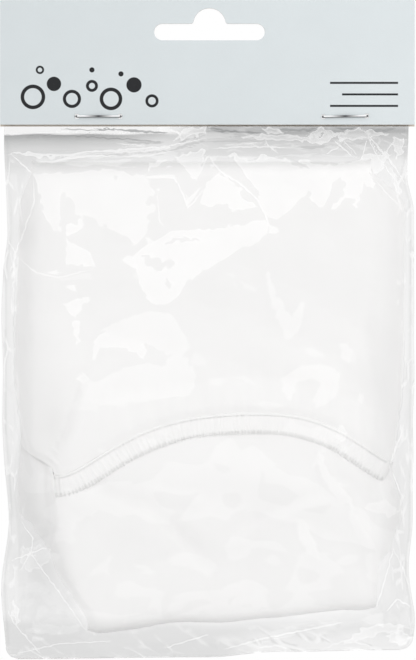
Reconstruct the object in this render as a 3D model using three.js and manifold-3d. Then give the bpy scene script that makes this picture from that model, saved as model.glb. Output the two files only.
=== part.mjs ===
// Shower cap in its hanging retail pack: a folded header card with a euro slot is stapled over the
// mouth of a clear film bag, and the bag holds one white cap with a gathered, elasticated rim.
// The cap lies flat: its front and rear halves face each other with both rims at mid height, and
// the crown of the cap is folded backwards over the top and hangs down behind the rims.
//
// Frame, in millimetres: X runs to the right and Z up as the pack hangs, Y from front to back.
// The origin is the top of the slot's arch, on the middle plane of the card, where a hook carries
// the pack.

import * as THREE from 'three';
import { mergeVertices } from 'three/addons/utils/BufferGeometryUtils.js';
import Module from 'manifold-3d';

const wasm = await Module();
wasm.setup();

// Header card, one strip of board folded over the mouth of the bag
const cardOverlap = 0.5; // how much wider the card is than the bag
const cardPanelHeight = 36.1; // from the fold down to the front panel's lower edge
const cardBackDrop = 0.5; // the back panel hangs this much lower than the front one
const cardThickness = 0.4;
const cardCentre = -0.6; // middle of the card, seen from the middle of its slot
const cardToFilm = 0.05;

// Euro slot, punched through both panels
const slotWidth = 32;
const slotWingHeight = 4.8;
const slotArchRadius = 4.7;
const slotArchRise = 4.5; // from the top of the wings to the top of the arch
const slotFillet = 0.8;
const slotToFold = 2.4; // from the top of the arch to the top of the fold

// Film bag, one film folded at the foot and welded up both sides
const filmThickness = 0.2;
const mouthGap = 0.15; // between the two walls where the staples close the mouth
const filmInsert = 19.9; // how far the walls reach up between the card's panels
const bagWidth = 119.5;
const bagHeight = 174.6;
const bagCentre = -0.4;
const sideWeld = 1;
const bagCornerRadius = 3.5;
const sideSwell = 9; // width over which the bag swells from a weld to its full depth
const footSwell = 12;
const headSwell = 9;
const headClearance = 0.3; // from the card's back panel down to where the bag starts to swell
const bagSlackShare = 1.06; // room inside the film, as a share of what fills it

// Wandering edges of the bag: [share of its height from the top, share of its half width]
const bagLeftShares = [
  [0, 0.99], [0.13, 0.99], [0.29, 0.974], [0.36, 0.997], [0.6, 0.998], [0.76, 0.971],
  [0.88, 1.003], [1, 0.985],
];
const bagRightShares = [
  [0, 0.98], [0.13, 0.975], [0.2, 0.968], [0.26, 0.999], [0.58, 0.997], [0.78, 0.993],
  [0.85, 0.974], [0.93, 1], [1, 0.985],
];
// Foot of the bag: [share of its width from the left, share of its height]
const bagFootShares = [[0, 1], [0.5, 0.997], [0.68, 0.988], [1, 0.985]];
// Depth of the filled bag: [share of its height from the top, share of its full depth]
const bagDepthShares = [[0, 0.55], [0.16, 0.6], [0.38, 1], [0.6, 1], [0.82, 0.86], [1, 0.8]];
const bagCrownShare = 0.12; // how much shallower the bag is at its sides than in the middle

// Wire staples through the card and both walls of the bag, clinched behind
const stapleWidth = 13;
const stapleLeg = 6;
const wireWidth = 0.7;
const wireThickness = 0.5;
const wireBendRadius = 0.2;
const stapleSeat = 0.05; // between the wire and the board that it presses on
const legClearance = 0.3;
const stapleLeftInset = 28.5; // from the card's left edge to the middle of the staple
const stapleRightInset = 20.15;
const stapleToEdge = 2.4; // from the wire's middle to the front panel's lower edge
const stapleRightTilt = THREE.MathUtils.degToRad(0.9);

// Gathered rim: a casing wraps the edge of the crown and holds a flat elastic
const casingHeight = 6.4;
const casingWall = 0.35;
const casingRoom = 1; // free width inside the casing
const puckerDepth = 0.15;
const puckerDrop = 0.25;
const puckersPerRun = 21;
const stepsPerPucker = 4;
const turnSteps = 6;
const elasticWidth = 3;
const elasticThickness = 0.45;
const elasticClearance = 0.3;
const lipThickness = 0.4;
const lipClearance = 0.3; // from the elastic to the edge of the crown inside the casing
const lipRoot = 0.6; // the crown's edge stays thin this far above the casing

// Rim seen from the front, left to right: [share of the bag's half width, share of the cap's height]
const rimShares = [
  [-0.708, 0.689], [-0.495, 0.643], [-0.278, 0.587], [0.007, 0.561], [0.291, 0.553],
  [0.55, 0.577], [0.72, 0.615], [0.828, 0.65],
];

// Folded cap: four layers, one layer pitch apart from front to back
const layerGap = 1.15; // between the casings of the front and the rear rim
const capDrop = 10.5; // from the card's lower edge to the top of the folded cap
const capToFoot = 7.2; // from the foot of the folded cap down to the foot of the bag
const frontPitchShare = -1.6; // middle of each layer, in layer pitches from the middle plane
const rearPitchShare = -0.6;
const innerPitchShare = 0.4;
const backPitchShare = 1.4;
const lowerInnerPitchShare = -0.55; // the crown plumps up below the rims
const lowerBackPitchShare = 0.95;
const layerHalfShare = 0.36; // half of a layer, in layer pitches
const lowerHalfShare = 0.55;
const packHalfShare = 2.17; // half of the pack's filling, in layer pitches
const plumpLength = 22; // height over which the crown plumps up below the rims
const foldGap = 0.8; // between the crown's outer and inner top folds
const edgeShare = 0.5; // a layer's thickness at its side edges, as a share of its full one
const gatherDepth = 0.3; // how far the crown swings forwards and back where the rim gathers it
const gatherLength = 26; // height above the rim over which the gathers run out

// Side edges of the crown: [share of the cap's height from the top, share of the bag's half width]
const crownLeftShares = [
  [0, 0.83], [0.19, 0.894], [0.5, 0.894], [0.67, 0.845], [0.75, 0.753], [0.83, 0.733], [1, 0.584],
];
const crownRightShares = [
  [0, 0.77], [0.114, 0.95], [0.79, 0.945], [0.85, 0.825], [1, 0.813],
];
// Foot of the crown: [share of its width from the left, share of the cap's height]
const crownFootShares = [[0, 1], [0.4, 0.976], [1, 0.949]];

// How finely the curved pieces are divided
const crownColumns = 2 * puckersPerRun; // a crest and a hollow for each pucker of the rim
const rimPanelShares = [0.04, 0.14, 0.3, 0.6, 1]; // closer together where the gathers are
const backPanelSteps = 5;
const innerPanelSteps = 6;
const topFoldSteps = 5;
const tightFoldSteps = 4;
const bagColumns = 7;
const bagRows = 6;
const swellSteps = 4;
const curveSegments = 10;
const wireSegments = 5;

const cutOverrun = 2; // cuts run this far past the faces that they open

// Places that follow from the sizes above
const mouthHalf = mouthGap / 2;
const filmFlatHalf = mouthHalf + filmThickness;
const cardInnerHalf = filmFlatHalf + cardToFilm;
const cardOuterHalf = cardInnerHalf + cardThickness;
const cardFoot = slotToFold - cardPanelHeight;
const bagTop = cardFoot + filmInsert;
const swellTop = cardFoot - cardBackDrop - headClearance;
const bodyTop = swellTop - headSwell;
const bagHalfWidth = bagWidth / 2;
const cardWidth = bagWidth + cardOverlap;
const capTop = cardFoot - capDrop;
const capHeight = capTop - capToFoot - (bagTop - bagHeight);
const casingDepth = casingRoom + 2 * casingWall;
const layerPitch = casingDepth + 2 * puckerDepth + layerGap;
const casingInnerFoot = -casingHeight / 2 + casingWall;
const elasticMiddle = casingInnerFoot + elasticClearance + elasticWidth / 2;
const lipEdge = elasticMiddle + elasticWidth / 2 + lipClearance;

// Profiles drawn in one plane and extruded square to it: [profile right, profile up, extrusion]
const axisX = new THREE.Vector3(1, 0, 0);
const axisY = new THREE.Vector3(0, 1, 0);
const axisZ = new THREE.Vector3(0, 0, 1);
const sideProfile = new THREE.Matrix4().makeBasis(axisY, axisZ, axisX);
const frontProfile = new THREE.Matrix4().makeBasis(axisX, axisZ, axisY.clone().negate());

const unit = (value) => Math.min(1, Math.max(0, value));
const ease = (t) => t * t * (3 - 2 * t);
const mix = (a, b, t) => a + (b - a) * t;
const swell = (distance, length) => Math.sin((Math.PI / 2) * unit(distance / length));

const evenShares = (steps) => Array.from({ length: steps }, (_, k) => (k + 1) / steps);

// Reads a table of [place, value] shares, easing from one point to the next
function along(shares, place) {
  let next = 1;
  while (next < shares.length - 1 && place > shares[next][0]) next += 1;
  const [fromPlace, fromValue] = shares[next - 1];
  const [toPlace, toValue] = shares[next];
  return mix(fromValue, toValue, ease(unit((place - fromPlace) / (toPlace - fromPlace))));
}

function solidOf(geometry) {
  geometry.deleteAttribute('normal');
  geometry.deleteAttribute('uv');
  const merged = mergeVertices(geometry);
  return new wasm.Manifold(new wasm.Mesh({
    numProp: 3,
    vertProperties: new Float32Array(merged.attributes.position.array),
    triVerts: new Uint32Array(merged.index.array),
  }));
}

function geometryOf(solid) {
  const { vertProperties, triVerts } = solid.getMesh();
  const geometry = new THREE.BufferGeometry();
  geometry.setAttribute('position', new THREE.BufferAttribute(vertProperties, 3));
  geometry.setIndex(new THREE.BufferAttribute(triVerts, 1));
  geometry.computeVertexNormals();
  return geometry;
}

function faceted(points, faces) {
  const geometry = new THREE.BufferGeometry();
  geometry.setAttribute('position', new THREE.Float32BufferAttribute(points.flat(), 3));
  geometry.setIndex(faces.flat());
  geometry.computeVertexNormals();
  return geometry;
}

function box(sizeX, sizeY, sizeZ, x, y, z) {
  return new THREE.BoxGeometry(sizeX, sizeY, sizeZ).translate(x, y, z);
}

// Closed solid between two grids of points of the same size, walled in along their four edges
function closedPair(front, back) {
  const rows = front.length;
  const columns = front[0].length;
  const at = (row, column) => row * columns + column;
  const behind = rows * columns;
  const faces = [];
  for (let r = 0; r < rows - 1; r += 1) {
    for (let c = 0; c < columns - 1; c += 1) {
      const [a, b, d, e] = [at(r, c), at(r, c + 1), at(r + 1, c), at(r + 1, c + 1)];
      faces.push([a, d, b], [b, d, e]);
      faces.push([behind + a, behind + b, behind + d], [behind + b, behind + e, behind + d]);
    }
  }
  const wall = (a, b) => faces.push([a, b, behind + a], [b, behind + b, behind + a]);
  for (let c = 0; c < columns - 1; c += 1) {
    wall(at(0, c), at(0, c + 1));
    wall(at(rows - 1, c + 1), at(rows - 1, c));
  }
  for (let r = 0; r < rows - 1; r += 1) {
    wall(at(r + 1, 0), at(r, 0));
    wall(at(r, columns - 1), at(r + 1, columns - 1));
  }
  return faceted([...front.flat(), ...back.flat()], faces);
}

// Header card

function cardGeometry() {
  const foldMiddle = slotToFold - cardOuterHalf;
  const backFoot = cardFoot - cardBackDrop;
  const profile = new THREE.Shape();
  profile.moveTo(-cardOuterHalf, cardFoot);
  profile.lineTo(-cardInnerHalf, cardFoot);
  profile.lineTo(-cardInnerHalf, foldMiddle);
  profile.absarc(0, foldMiddle, cardInnerHalf, Math.PI, 0, true);
  profile.lineTo(cardInnerHalf, backFoot);
  profile.lineTo(cardOuterHalf, backFoot);
  profile.lineTo(cardOuterHalf, foldMiddle);
  profile.absarc(0, foldMiddle, cardOuterHalf, 0, Math.PI, false);
  return new THREE.ExtrudeGeometry(profile, { depth: cardWidth, bevelEnabled: false, curveSegments })
    .applyMatrix4(sideProfile)
    .translate(cardCentre - cardWidth / 2, 0, 0);
}

// Two round-ended wings below a round arch that the hook finds, with filleted feet
function euroSlotGeometry() {
  const wingTop = -slotArchRise;
  const wingRadius = slotWingHeight / 2;
  const wingMiddle = wingTop - wingRadius;
  const wingReach = slotWidth / 2 - wingRadius;
  const archMiddle = -slotArchRadius;
  const filletRise = wingTop + slotFillet - archMiddle;
  const filletReach = Math.sqrt((slotArchRadius + slotFillet) ** 2 - filletRise ** 2);
  const touch = Math.atan2(filletRise, filletReach);
  const outline = new THREE.Shape();
  outline.moveTo(-wingReach, wingMiddle - wingRadius);
  outline.lineTo(wingReach, wingMiddle - wingRadius);
  outline.absarc(wingReach, wingMiddle, wingRadius, -Math.PI / 2, Math.PI / 2, false);
  outline.absarc(filletReach, wingTop + slotFillet, slotFillet, -Math.PI / 2, Math.PI + touch, true);
  outline.absarc(0, archMiddle, slotArchRadius, touch, Math.PI - touch, false);
  outline.absarc(-filletReach, wingTop + slotFillet, slotFillet, -touch, -Math.PI / 2, true);
  outline.absarc(-wingReach, wingMiddle, wingRadius, Math.PI / 2, (3 * Math.PI) / 2, false);
  const depth = 2 * (cardOuterHalf + cutOverrun);
  return new THREE.ExtrudeGeometry(outline, { depth, bevelEnabled: false, curveSegments })
    .applyMatrix4(frontProfile)
    .translate(0, depth / 2, 0);
}

// Staples

const staplePlaces = [
  { name: 'staple_left', x: cardCentre - cardWidth / 2 + stapleLeftInset, tilt: 0 },
  { name: 'staple_right', x: cardCentre + cardWidth / 2 - stapleRightInset, tilt: stapleRightTilt },
];
const stapleZ = cardFoot + stapleToEdge;

// Wire seen from above: crown in front, two legs through the board, both clinched inwards behind
function stapleGeometry() {
  const outer = wireBendRadius + wireThickness;
  const legOutside = stapleWidth / 2;
  const legInside = legOutside - wireThickness;
  const crownInside = -(cardOuterHalf + stapleSeat);
  const crownOutside = crownInside - wireThickness;
  const clinchInside = cardOuterHalf + stapleSeat;
  const clinchOutside = clinchInside + wireThickness;
  const clinchLength = stapleLeg - (clinchInside - crownInside);
  const tip = legOutside - clinchLength;
  const wire = new THREE.Shape();
  wire.moveTo(-legOutside + outer, crownOutside);
  wire.absarc(legOutside - outer, crownOutside + outer, outer, -Math.PI / 2, 0, false);
  wire.absarc(legOutside - outer, clinchOutside - outer, outer, 0, Math.PI / 2, false);
  wire.lineTo(tip + wireThickness / 2, clinchOutside);
  wire.lineTo(tip, clinchInside);
  const bend = wireBendRadius;
  wire.absarc(legInside - bend, clinchInside - bend, bend, Math.PI / 2, 0, true);
  wire.absarc(legInside - bend, crownInside + bend, bend, 0, -Math.PI / 2, true);
  wire.absarc(-legInside + bend, crownInside + bend, bend, -Math.PI / 2, -Math.PI, true);
  wire.absarc(-legInside + bend, clinchInside - bend, bend, Math.PI, Math.PI / 2, true);
  wire.lineTo(-tip, clinchInside);
  wire.lineTo(-tip - wireThickness / 2, clinchOutside);
  wire.absarc(-legOutside + outer, clinchOutside - outer, outer, Math.PI / 2, Math.PI, false);
  wire.absarc(-legOutside + outer, crownOutside + outer, outer, Math.PI, (3 * Math.PI) / 2, false);
  const extrusion = { depth: wireWidth, bevelEnabled: false, curveSegments: wireSegments };
  return new THREE.ExtrudeGeometry(wire, extrusion).translate(0, 0, -wireWidth / 2);
}

// The two holes that one staple's legs need, cut right through the stack
function stapleHoles({ x, tilt }) {
  const place = new THREE.Matrix4().makeRotationY(-tilt).setPosition(x, 0, stapleZ);
  const legMiddle = (stapleWidth - wireThickness) / 2;
  const sizes = [
    wireThickness + 2 * legClearance,
    2 * (cardOuterHalf + cutOverrun),
    wireWidth + 2 * legClearance,
  ];
  return [-legMiddle, legMiddle].map((leg) => solidOf(box(...sizes, leg, 0, 0).applyMatrix4(place)));
}

function pierced(solid) {
  return staplePlaces.flatMap(stapleHoles).reduce((left, hole) => left.subtract(hole), solid);
}

// Film bag

function bagEdges(z) {
  const depth = unit((bagTop - z) / bagHeight);
  return [
    bagCentre - bagHalfWidth * along(bagLeftShares, depth),
    bagCentre + bagHalfWidth * along(bagRightShares, depth),
  ];
}

const bagFoot = (across) => bagTop - bagHeight * along(bagFootShares, across);

// How full the bag is at a place, from 0 at its edges and under the card to 1 in the middle
function fullness(x, z) {
  const [left, right] = bagEdges(z);
  const across = unit((x - left) / (right - left));
  const crowned = 1 - bagCrownShare * (2 * across - 1) ** 2;
  const sides = crowned * swell(x - left - sideWeld, sideSwell) * swell(right - sideWeld - x, sideSwell);
  const foot = swell(z - bagFoot(across), footSwell);
  const head = ease(unit((swellTop - z) / headSwell));
  return sides * foot * head * along(bagDepthShares, unit((bagTop - z) / bagHeight));
}

const pitchAt = (x, z) => layerPitch * fullness(x, z);

// Shares of the bag's width where its film bends: the weld, the swell beside it, the flat middle
function bagColumnShares() {
  const shares = [];
  for (let k = 0; k <= swellSteps; k += 1) {
    shares.push((sideWeld + sideSwell * (k / swellSteps)) / bagWidth);
  }
  const [first] = shares.slice(-1);
  for (let k = 1; k < bagColumns; k += 1) shares.push(mix(first, 1 - first, k / bagColumns));
  for (let k = swellSteps; k >= 0; k -= 1) shares.push(1 - shares[k]);
  return shares;
}

// Shares of the bag's height: flat under the card, the swell below it, the body and the foot
function bagRowShares() {
  const shares = [0];
  for (let k = 0; k <= swellSteps + 1; k += 1) {
    shares.push((bagTop - mix(swellTop, bodyTop, k / (swellSteps + 1))) / bagHeight);
  }
  const [first] = shares.slice(-1);
  const last = 1 - footSwell / bagHeight;
  for (let k = 1; k <= bagRows; k += 1) shares.push(mix(first, last, k / bagRows));
  for (let k = swellSteps - 1; k >= 0; k -= 1) shares.push(1 - (footSwell * (k / swellSteps)) / bagHeight);
  return shares;
}

function bagPoint(across, down, extraHalf) {
  const level = bagTop - bagHeight * down;
  const lower = unit((bodyTop - level) / (bodyTop - bagTop + bagHeight));
  const z = level + (bagFoot(across) - bagTop + bagHeight) * lower;
  const [left, right] = bagEdges(z);
  const aboveFoot = unit((z - bagFoot(across)) / bagCornerRadius);
  const corner = bagCornerRadius * (1 - Math.sqrt(1 - (1 - aboveFoot) ** 2));
  const x = mix(left + corner, right - corner, across);
  const filling = bagSlackShare * packHalfShare * pitchAt(x, z);
  return [x, mouthHalf + filling + extraHalf, z];
}

function bagSlab(columns, rows, extraHalf, topRise, footRise) {
  const lift = (row, z) => z + (row === 0 ? topRise : 0) + (row === rows.length - 1 ? footRise : 0);
  const grid = (sign) => rows.map((down, row) => columns.map((across) => {
    const [x, half, z] = bagPoint(across, down, extraHalf);
    return [x, sign * half, lift(row, z)];
  }));
  return solidOf(closedPair(grid(-1), grid(1)));
}

function bagGeometry() {
  const columns = bagColumnShares();
  const rows = bagRowShares();
  const outside = bagSlab([0, ...columns, 1], rows, filmThickness, 0, 0);
  const inside = bagSlab(columns, rows, 0, cutOverrun, filmThickness);
  return geometryOf(pierced(outside.subtract(inside)));
}

// Rim of the cap

const rimCurve = new THREE.CatmullRomCurve3(rimShares.map(([across, down]) => new THREE.Vector3(
  bagCentre + bagHalfWidth * across,
  0,
  capTop - capHeight * down,
)));
const rimEndPitches = [0, 1].map((t) => {
  const { x, z } = rimCurve.getPointAt(t);
  return pitchAt(x, z);
});

// A point of the front or the rear rim, with its direction and the way that the casing opens
function rimFrame(t, pitchShare) {
  const point = rimCurve.getPointAt(t);
  point.y = pitchShare * mix(rimEndPitches[0], rimEndPitches[1], t);
  const tangent = rimCurve.getTangentAt(t);
  return { point, tangent, up: new THREE.Vector3(-tangent.z, 0, tangent.x) };
}

// Once round the rim: front run to the right, a turn to the back, rear run to the left, a turn
function rimLoop() {
  const steps = puckersPerRun * stepsPerPucker;
  const loop = [];
  const run = (pitchShare, out, reverse) => {
    for (let k = 0; k <= steps; k += 1) {
      const t = reverse ? 1 - k / steps : k / steps;
      const phase = ((k % stepsPerPucker) / stepsPerPucker) * 2 * Math.PI;
      const full = (k === 0 || k === steps) ? 0 : (1 - Math.cos(phase)) / 2;
      loop.push({ ...rimFrame(t, pitchShare), out, pucker: full });
    }
  };
  const turn = (t, way) => {
    const front = rimFrame(t, frontPitchShare);
    const rear = rimFrame(t, rearPitchShare);
    const radius = (rear.point.y - front.point.y) / 2;
    const middle = front.point.clone().lerp(rear.point, 1 / 2);
    const side = front.tangent.clone().multiplyScalar(way);
    for (let k = 1; k < turnSteps; k += 1) {
      const angle = (Math.PI * k) / turnSteps;
      const out = side.clone().multiplyScalar(Math.sin(angle));
      out.addScaledVector(axisY, -way * Math.cos(angle));
      loop.push({ point: middle.clone().addScaledVector(out, radius), up: front.up, out, pucker: 0 });
    }
  };
  run(frontPitchShare, axisY.clone().negate(), false);
  turn(1, 1);
  run(rearPitchShare, axisY, true);
  turn(0, -1);
  return loop;
}

// Closed ring swept round the rim; a section lists [height above the rim line, distance outwards]
function sweptRing(loop, sectionAt) {
  const points = [];
  const faces = [];
  const sides = sectionAt(0).length;
  loop.forEach(({ point, up, out, pucker }, ring) => {
    sectionAt(pucker).forEach(([height, outwards]) => {
      points.push(point.clone().addScaledVector(up, height).addScaledVector(out, outwards).toArray());
    });
    const next = ((ring + 1) % loop.length) * sides;
    for (let k = 0; k < sides; k += 1) {
      const [a, b] = [ring * sides + k, ring * sides + ((k + 1) % sides)];
      const [c, d] = [next + k, next + ((k + 1) % sides)];
      faces.push([a, b, c], [b, d, c]);
    }
  });
  return faceted(points, faces);
}

// Folded strip, open at the top where the crown goes in, gathered into puckers
function casingSection(pucker) {
  const top = casingHeight / 2;
  const foot = -casingHeight / 2 - puckerDrop * pucker;
  const outside = casingDepth / 2 + puckerDepth * pucker;
  const inside = casingRoom / 2;
  const shoulder = foot + casingDepth / 2;
  return [
    [top, inside], [top, outside], [shoulder, outside], [foot, 0], [shoulder, -outside],
    [top, -outside], [top, -inside], [casingInnerFoot, -inside], [casingInnerFoot, inside],
  ];
}

function elasticSection() {
  const half = elasticThickness / 2;
  const top = elasticMiddle + elasticWidth / 2;
  const foot = elasticMiddle - elasticWidth / 2;
  return [[top, -half], [top, half], [foot, half], [foot, -half]];
}

// Crown of the cap

function crownEdges(z) {
  const down = unit((capTop - z) / capHeight);
  return [
    bagCentre - bagHalfWidth * along(crownLeftShares, down),
    bagCentre + bagHalfWidth * along(crownRightShares, down),
  ];
}

function crownX(across, z) {
  const [left, right] = crownEdges(z);
  return mix(left, right, across);
}

// The crown's edge inside the casing, and the thin stretch above it
function lipPoints(across, pitchShare) {
  const { point, up } = rimFrame(across, pitchShare);
  return [lipEdge, casingHeight / 2 + lipRoot].map((height) => {
    const place = point.clone().addScaledVector(up, height);
    return { x: place.x, y: place.y, z: place.z, half: lipThickness / 2 };
  });
}

// One layer hanging between two heights, with the layer's place read from its share of the pitch
function panelPoints(fromZ, toZ, shares, shareAt, halfAt, xAt) {
  return shares.map((share) => {
    const z = mix(fromZ, toZ, share);
    const x = xAt(z, share);
    const pitch = pitchAt(x, z);
    return { x, y: shareAt(z) * pitch, z, half: halfAt(z) * pitch };
  });
}

// Half turn from one layer to the next, over the top or round the foot
function foldPoints(from, toY, sign, steps) {
  const middle = (from.y + toY) / 2;
  const radius = (toY - from.y) / 2;
  const points = [];
  for (let k = 1; k < steps; k += 1) {
    const angle = (Math.PI * k) / steps;
    points.push({
      x: from.x,
      y: middle - radius * Math.cos(angle),
      z: from.z + sign * Math.abs(radius) * Math.sin(angle),
      half: from.half,
    });
  }
  return points;
}

// Section of the crown, from the front rim over the top, down the back and up inside to the rear rim
function crownSection(across) {
  const front = lipPoints(across, frontPitchShare);
  const rear = lipPoints(across, rearPitchShare);
  const rimZ = rimCurve.getPointAt(across).z - casingHeight;
  const lower = (z) => ease(unit((rimZ - z) / plumpLength));
  const layerHalf = (z) => mix(layerHalfShare, lowerHalfShare, lower(z));
  const backShare = (z) => mix(backPitchShare, lowerBackPitchShare, lower(z));
  const innerShare = (z) => mix(innerPitchShare, lowerInnerPitchShare, lower(z));
  const hung = (z) => crownX(across, z);
  const swing = gatherDepth * Math.cos(2 * Math.PI * puckersPerRun * across);
  const gathered = (points, rimTop) => points.map((point) => {
    const faded = 1 - ease(unit((point.z - rimTop) / gatherLength));
    return { ...point, y: point.y + swing * faded };
  });
  const foldX = hung(capTop - layerPitch);
  const topPitch = pitchAt(foldX, capTop - layerPitch * packHalfShare);
  const outerRadius = ((backPitchShare - frontPitchShare) / 2) * topPitch;
  const half = layerHalfShare * topPitch;
  const foldZ = capTop - outerRadius - half;
  const footZ = capTop - capHeight * along(crownFootShares, across);
  const spread = (lip) => (z, t) => mix(lip.x, hung(z), ease(t));

  const up = gathered(panelPoints(front[1].z, foldZ, rimPanelShares,
    () => frontPitchShare, layerHalf, spread(front[1])), front[1].z);
  const overTop = up[up.length - 1];
  const backTopY = backPitchShare * pitchAt(overTop.x, overTop.z);
  const footPitch = pitchAt(hung(footZ + layerPitch), footZ + layerPitch);
  const footRadius = ((lowerBackPitchShare - lowerInnerPitchShare) / 2) * footPitch;
  const turnZ = footZ + footRadius + lowerHalfShare * footPitch;
  const down = panelPoints(foldZ, turnZ, evenShares(backPanelSteps), backShare, layerHalf, hung);
  const foot = down[down.length - 1];
  const innerFootY = innerShare(turnZ) * pitchAt(foot.x, turnZ);
  const innerRadius = ((innerPitchShare - rearPitchShare) / 2) * topPitch;
  const innerZ = foldZ + outerRadius - 2 * half - foldGap - innerRadius;
  const inner = panelPoints(turnZ, innerZ, evenShares(innerPanelSteps), innerShare, layerHalf, hung);
  const underTop = inner[inner.length - 1];
  const rearTopY = rearPitchShare * pitchAt(underTop.x, underTop.z);
  const hang = gathered(panelPoints(rear[1].z, innerZ, rimPanelShares,
    () => rearPitchShare, layerHalf, spread(rear[1])), rear[1].z).reverse();
  return [
    ...front, ...up,
    ...foldPoints(overTop, backTopY, 1, topFoldSteps),
    { ...overTop, y: backTopY }, ...down,
    ...foldPoints(foot, innerFootY, -1, tightFoldSteps),
    { ...foot, y: innerFootY }, ...inner,
    ...foldPoints(underTop, rearTopY, 1, tightFoldSteps),
    ...hang, rear[1], rear[0],
  ];
}

// The folded sheet: its section gets thickness on both sides, square to its own path
function crownGeometry() {
  const leftSide = [];
  const rightSide = [];
  for (let c = 0; c <= crownColumns; c += 1) {
    const path = crownSection(c / crownColumns);
    const edge = c === 0 || c === crownColumns ? edgeShare : 1;
    const offset = (sign) => path.map((here, k) => {
      const before = path[Math.max(0, k - 1)];
      const after = path[Math.min(path.length - 1, k + 1)];
      const [dy, dz] = [after.y - before.y, after.z - before.z];
      const reach = (sign * edge * here.half) / Math.hypot(dy, dz);
      return [here.x, here.y - dz * reach, here.z + dy * reach];
    });
    leftSide.push(offset(1));
    rightSide.push(offset(-1));
  }
  return closedPair(leftSide, rightSide);
}

// Finishes
const board = new THREE.MeshStandardMaterial({ color: 0xd9dfe2, roughness: 0.9, metalness: 0 });
const steelWire = new THREE.MeshStandardMaterial({ color: 0xb9bcbe, roughness: 0.3, metalness: 1 });
const clearFilm = new THREE.MeshStandardMaterial({
  color: 0xf4f6f7, roughness: 0.08, metalness: 0, transparent: true, opacity: 0.25,
});
const whiteSheet = new THREE.MeshStandardMaterial({ color: 0xf7f7f5, roughness: 0.6, metalness: 0 });
const knitElastic = new THREE.MeshStandardMaterial({ color: 0xf0efeb, roughness: 0.85, metalness: 0 });

function named(name, geometry, material) {
  const mesh = new THREE.Mesh(geometry, material);
  mesh.name = name;
  return mesh;
}

const header = new THREE.Group();
const punchedCard = solidOf(cardGeometry()).subtract(solidOf(euroSlotGeometry()));
header.add(named('header_card', geometryOf(pierced(punchedCard)), board));
for (const { name, x, tilt } of staplePlaces) {
  const staple = named(name, stapleGeometry(), steelWire);
  staple.position.set(x, 0, stapleZ);
  staple.rotation.y = -tilt;
  header.add(staple);
}

const cap = new THREE.Group();
const loop = rimLoop();
cap.add(named('cap_crown', crownGeometry(), whiteSheet));
cap.add(named('rim_casing', sweptRing(loop, casingSection), whiteSheet));
cap.add(named('rim_elastic', sweptRing(loop, elasticSection), knitElastic));

const pack = new THREE.Group();
pack.add(header, named('film_bag', bagGeometry(), clearFilm), cap);

export default pack;
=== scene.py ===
"""Shower cap in its hanging retail pack: the finished look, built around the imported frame.

A folded header card is stapled over the mouth of a clear film bag, and the bag holds one white
cap, folded flat, with a gathered and sewn rim. Lengths are in metres: X runs to the right, Z up,
and Y from the front of the pack to its back.
"""

from __future__ import annotations

import logging
import math
from dataclasses import dataclass, field
from enum import Enum
from typing import Callable, Sequence

import bpy
import numpy as np
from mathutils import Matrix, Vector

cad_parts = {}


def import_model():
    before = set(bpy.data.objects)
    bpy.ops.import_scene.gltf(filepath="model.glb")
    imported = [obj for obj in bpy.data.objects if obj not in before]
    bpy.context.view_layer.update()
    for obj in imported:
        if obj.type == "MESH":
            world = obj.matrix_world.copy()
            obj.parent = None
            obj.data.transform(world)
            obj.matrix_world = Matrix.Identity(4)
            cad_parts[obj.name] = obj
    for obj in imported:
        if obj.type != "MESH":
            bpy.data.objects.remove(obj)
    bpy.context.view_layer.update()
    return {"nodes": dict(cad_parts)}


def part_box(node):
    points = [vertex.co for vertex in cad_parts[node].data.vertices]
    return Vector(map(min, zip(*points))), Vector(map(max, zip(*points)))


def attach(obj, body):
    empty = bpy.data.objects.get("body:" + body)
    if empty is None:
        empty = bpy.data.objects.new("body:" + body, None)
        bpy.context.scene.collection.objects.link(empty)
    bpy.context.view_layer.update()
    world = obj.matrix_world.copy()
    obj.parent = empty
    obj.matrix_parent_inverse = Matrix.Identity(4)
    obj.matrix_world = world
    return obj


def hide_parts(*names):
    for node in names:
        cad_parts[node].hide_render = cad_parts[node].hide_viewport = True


MM = 0.001
LOG = logging.getLogger("shower_cap_pack")

ORIGIN = (0.0, 0.0, 0.0)
HALF = (0.5, 0.5, 0.5)
# What the film's numbers say where nothing is near
FAR = 9.0
# Half of the blurred edge of printed ink
INK_EDGE = 0.05 * MM

Array = np.ndarray
Table = Sequence[tuple[float, float]]
Flat = Sequence[float]


class Body(Enum):
    """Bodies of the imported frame."""

    PACK = "root"


class Slot(Enum):
    """Material slots of the record."""

    WIRE = "staple_wire"
    FILM = "clear_film"
    SHEET = "cap_sheet"
    RIM = "rim_strip"


@dataclass(frozen=True)
class Picture:
    """Turns places in the picture, 416 by 660 pixels, into places on the pack."""

    width_px: float = 416
    height_px: float = 660
    pixel: float = 0.2895 * MM
    slot_middle_px: float = 209.45
    arch_top_px: float = 8.3

    def x(self, px: float | Array) -> float | Array:
        """Place to the right of the slot's middle."""
        return (px - self.slot_middle_px) * self.pixel

    def z(self, py: float | Array) -> float | Array:
        """Height above the top of the slot's arch."""
        return (self.arch_top_px - py) * self.pixel

    def rise_across(self, x: Array, span_px: tuple[float, float]) -> Array:
        """Rises from 0 to 1 across the pack: start and length in the picture."""
        start, length = span_px
        return ease((x - self.x(start)) / (length * self.pixel))

    def route(self, points: Flat) -> Array:
        """Places on the pack, a row of x and z for each pair of numbers in the picture."""
        flat = np.asarray(points, float).reshape(-1, 2)
        return np.stack([self.x(flat[:, 0]), self.z(flat[:, 1])], axis=1)


PICTURE = Picture()


def unit(value: Array | float) -> Array | float:
    """The value, kept between 0 and 1."""
    return np.clip(value, 0, 1)


def ease(t: Array | float) -> Array | float:
    """Smooth step from 0 to 1."""
    t = unit(t)
    return t * t * (3 - 2 * t)


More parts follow.
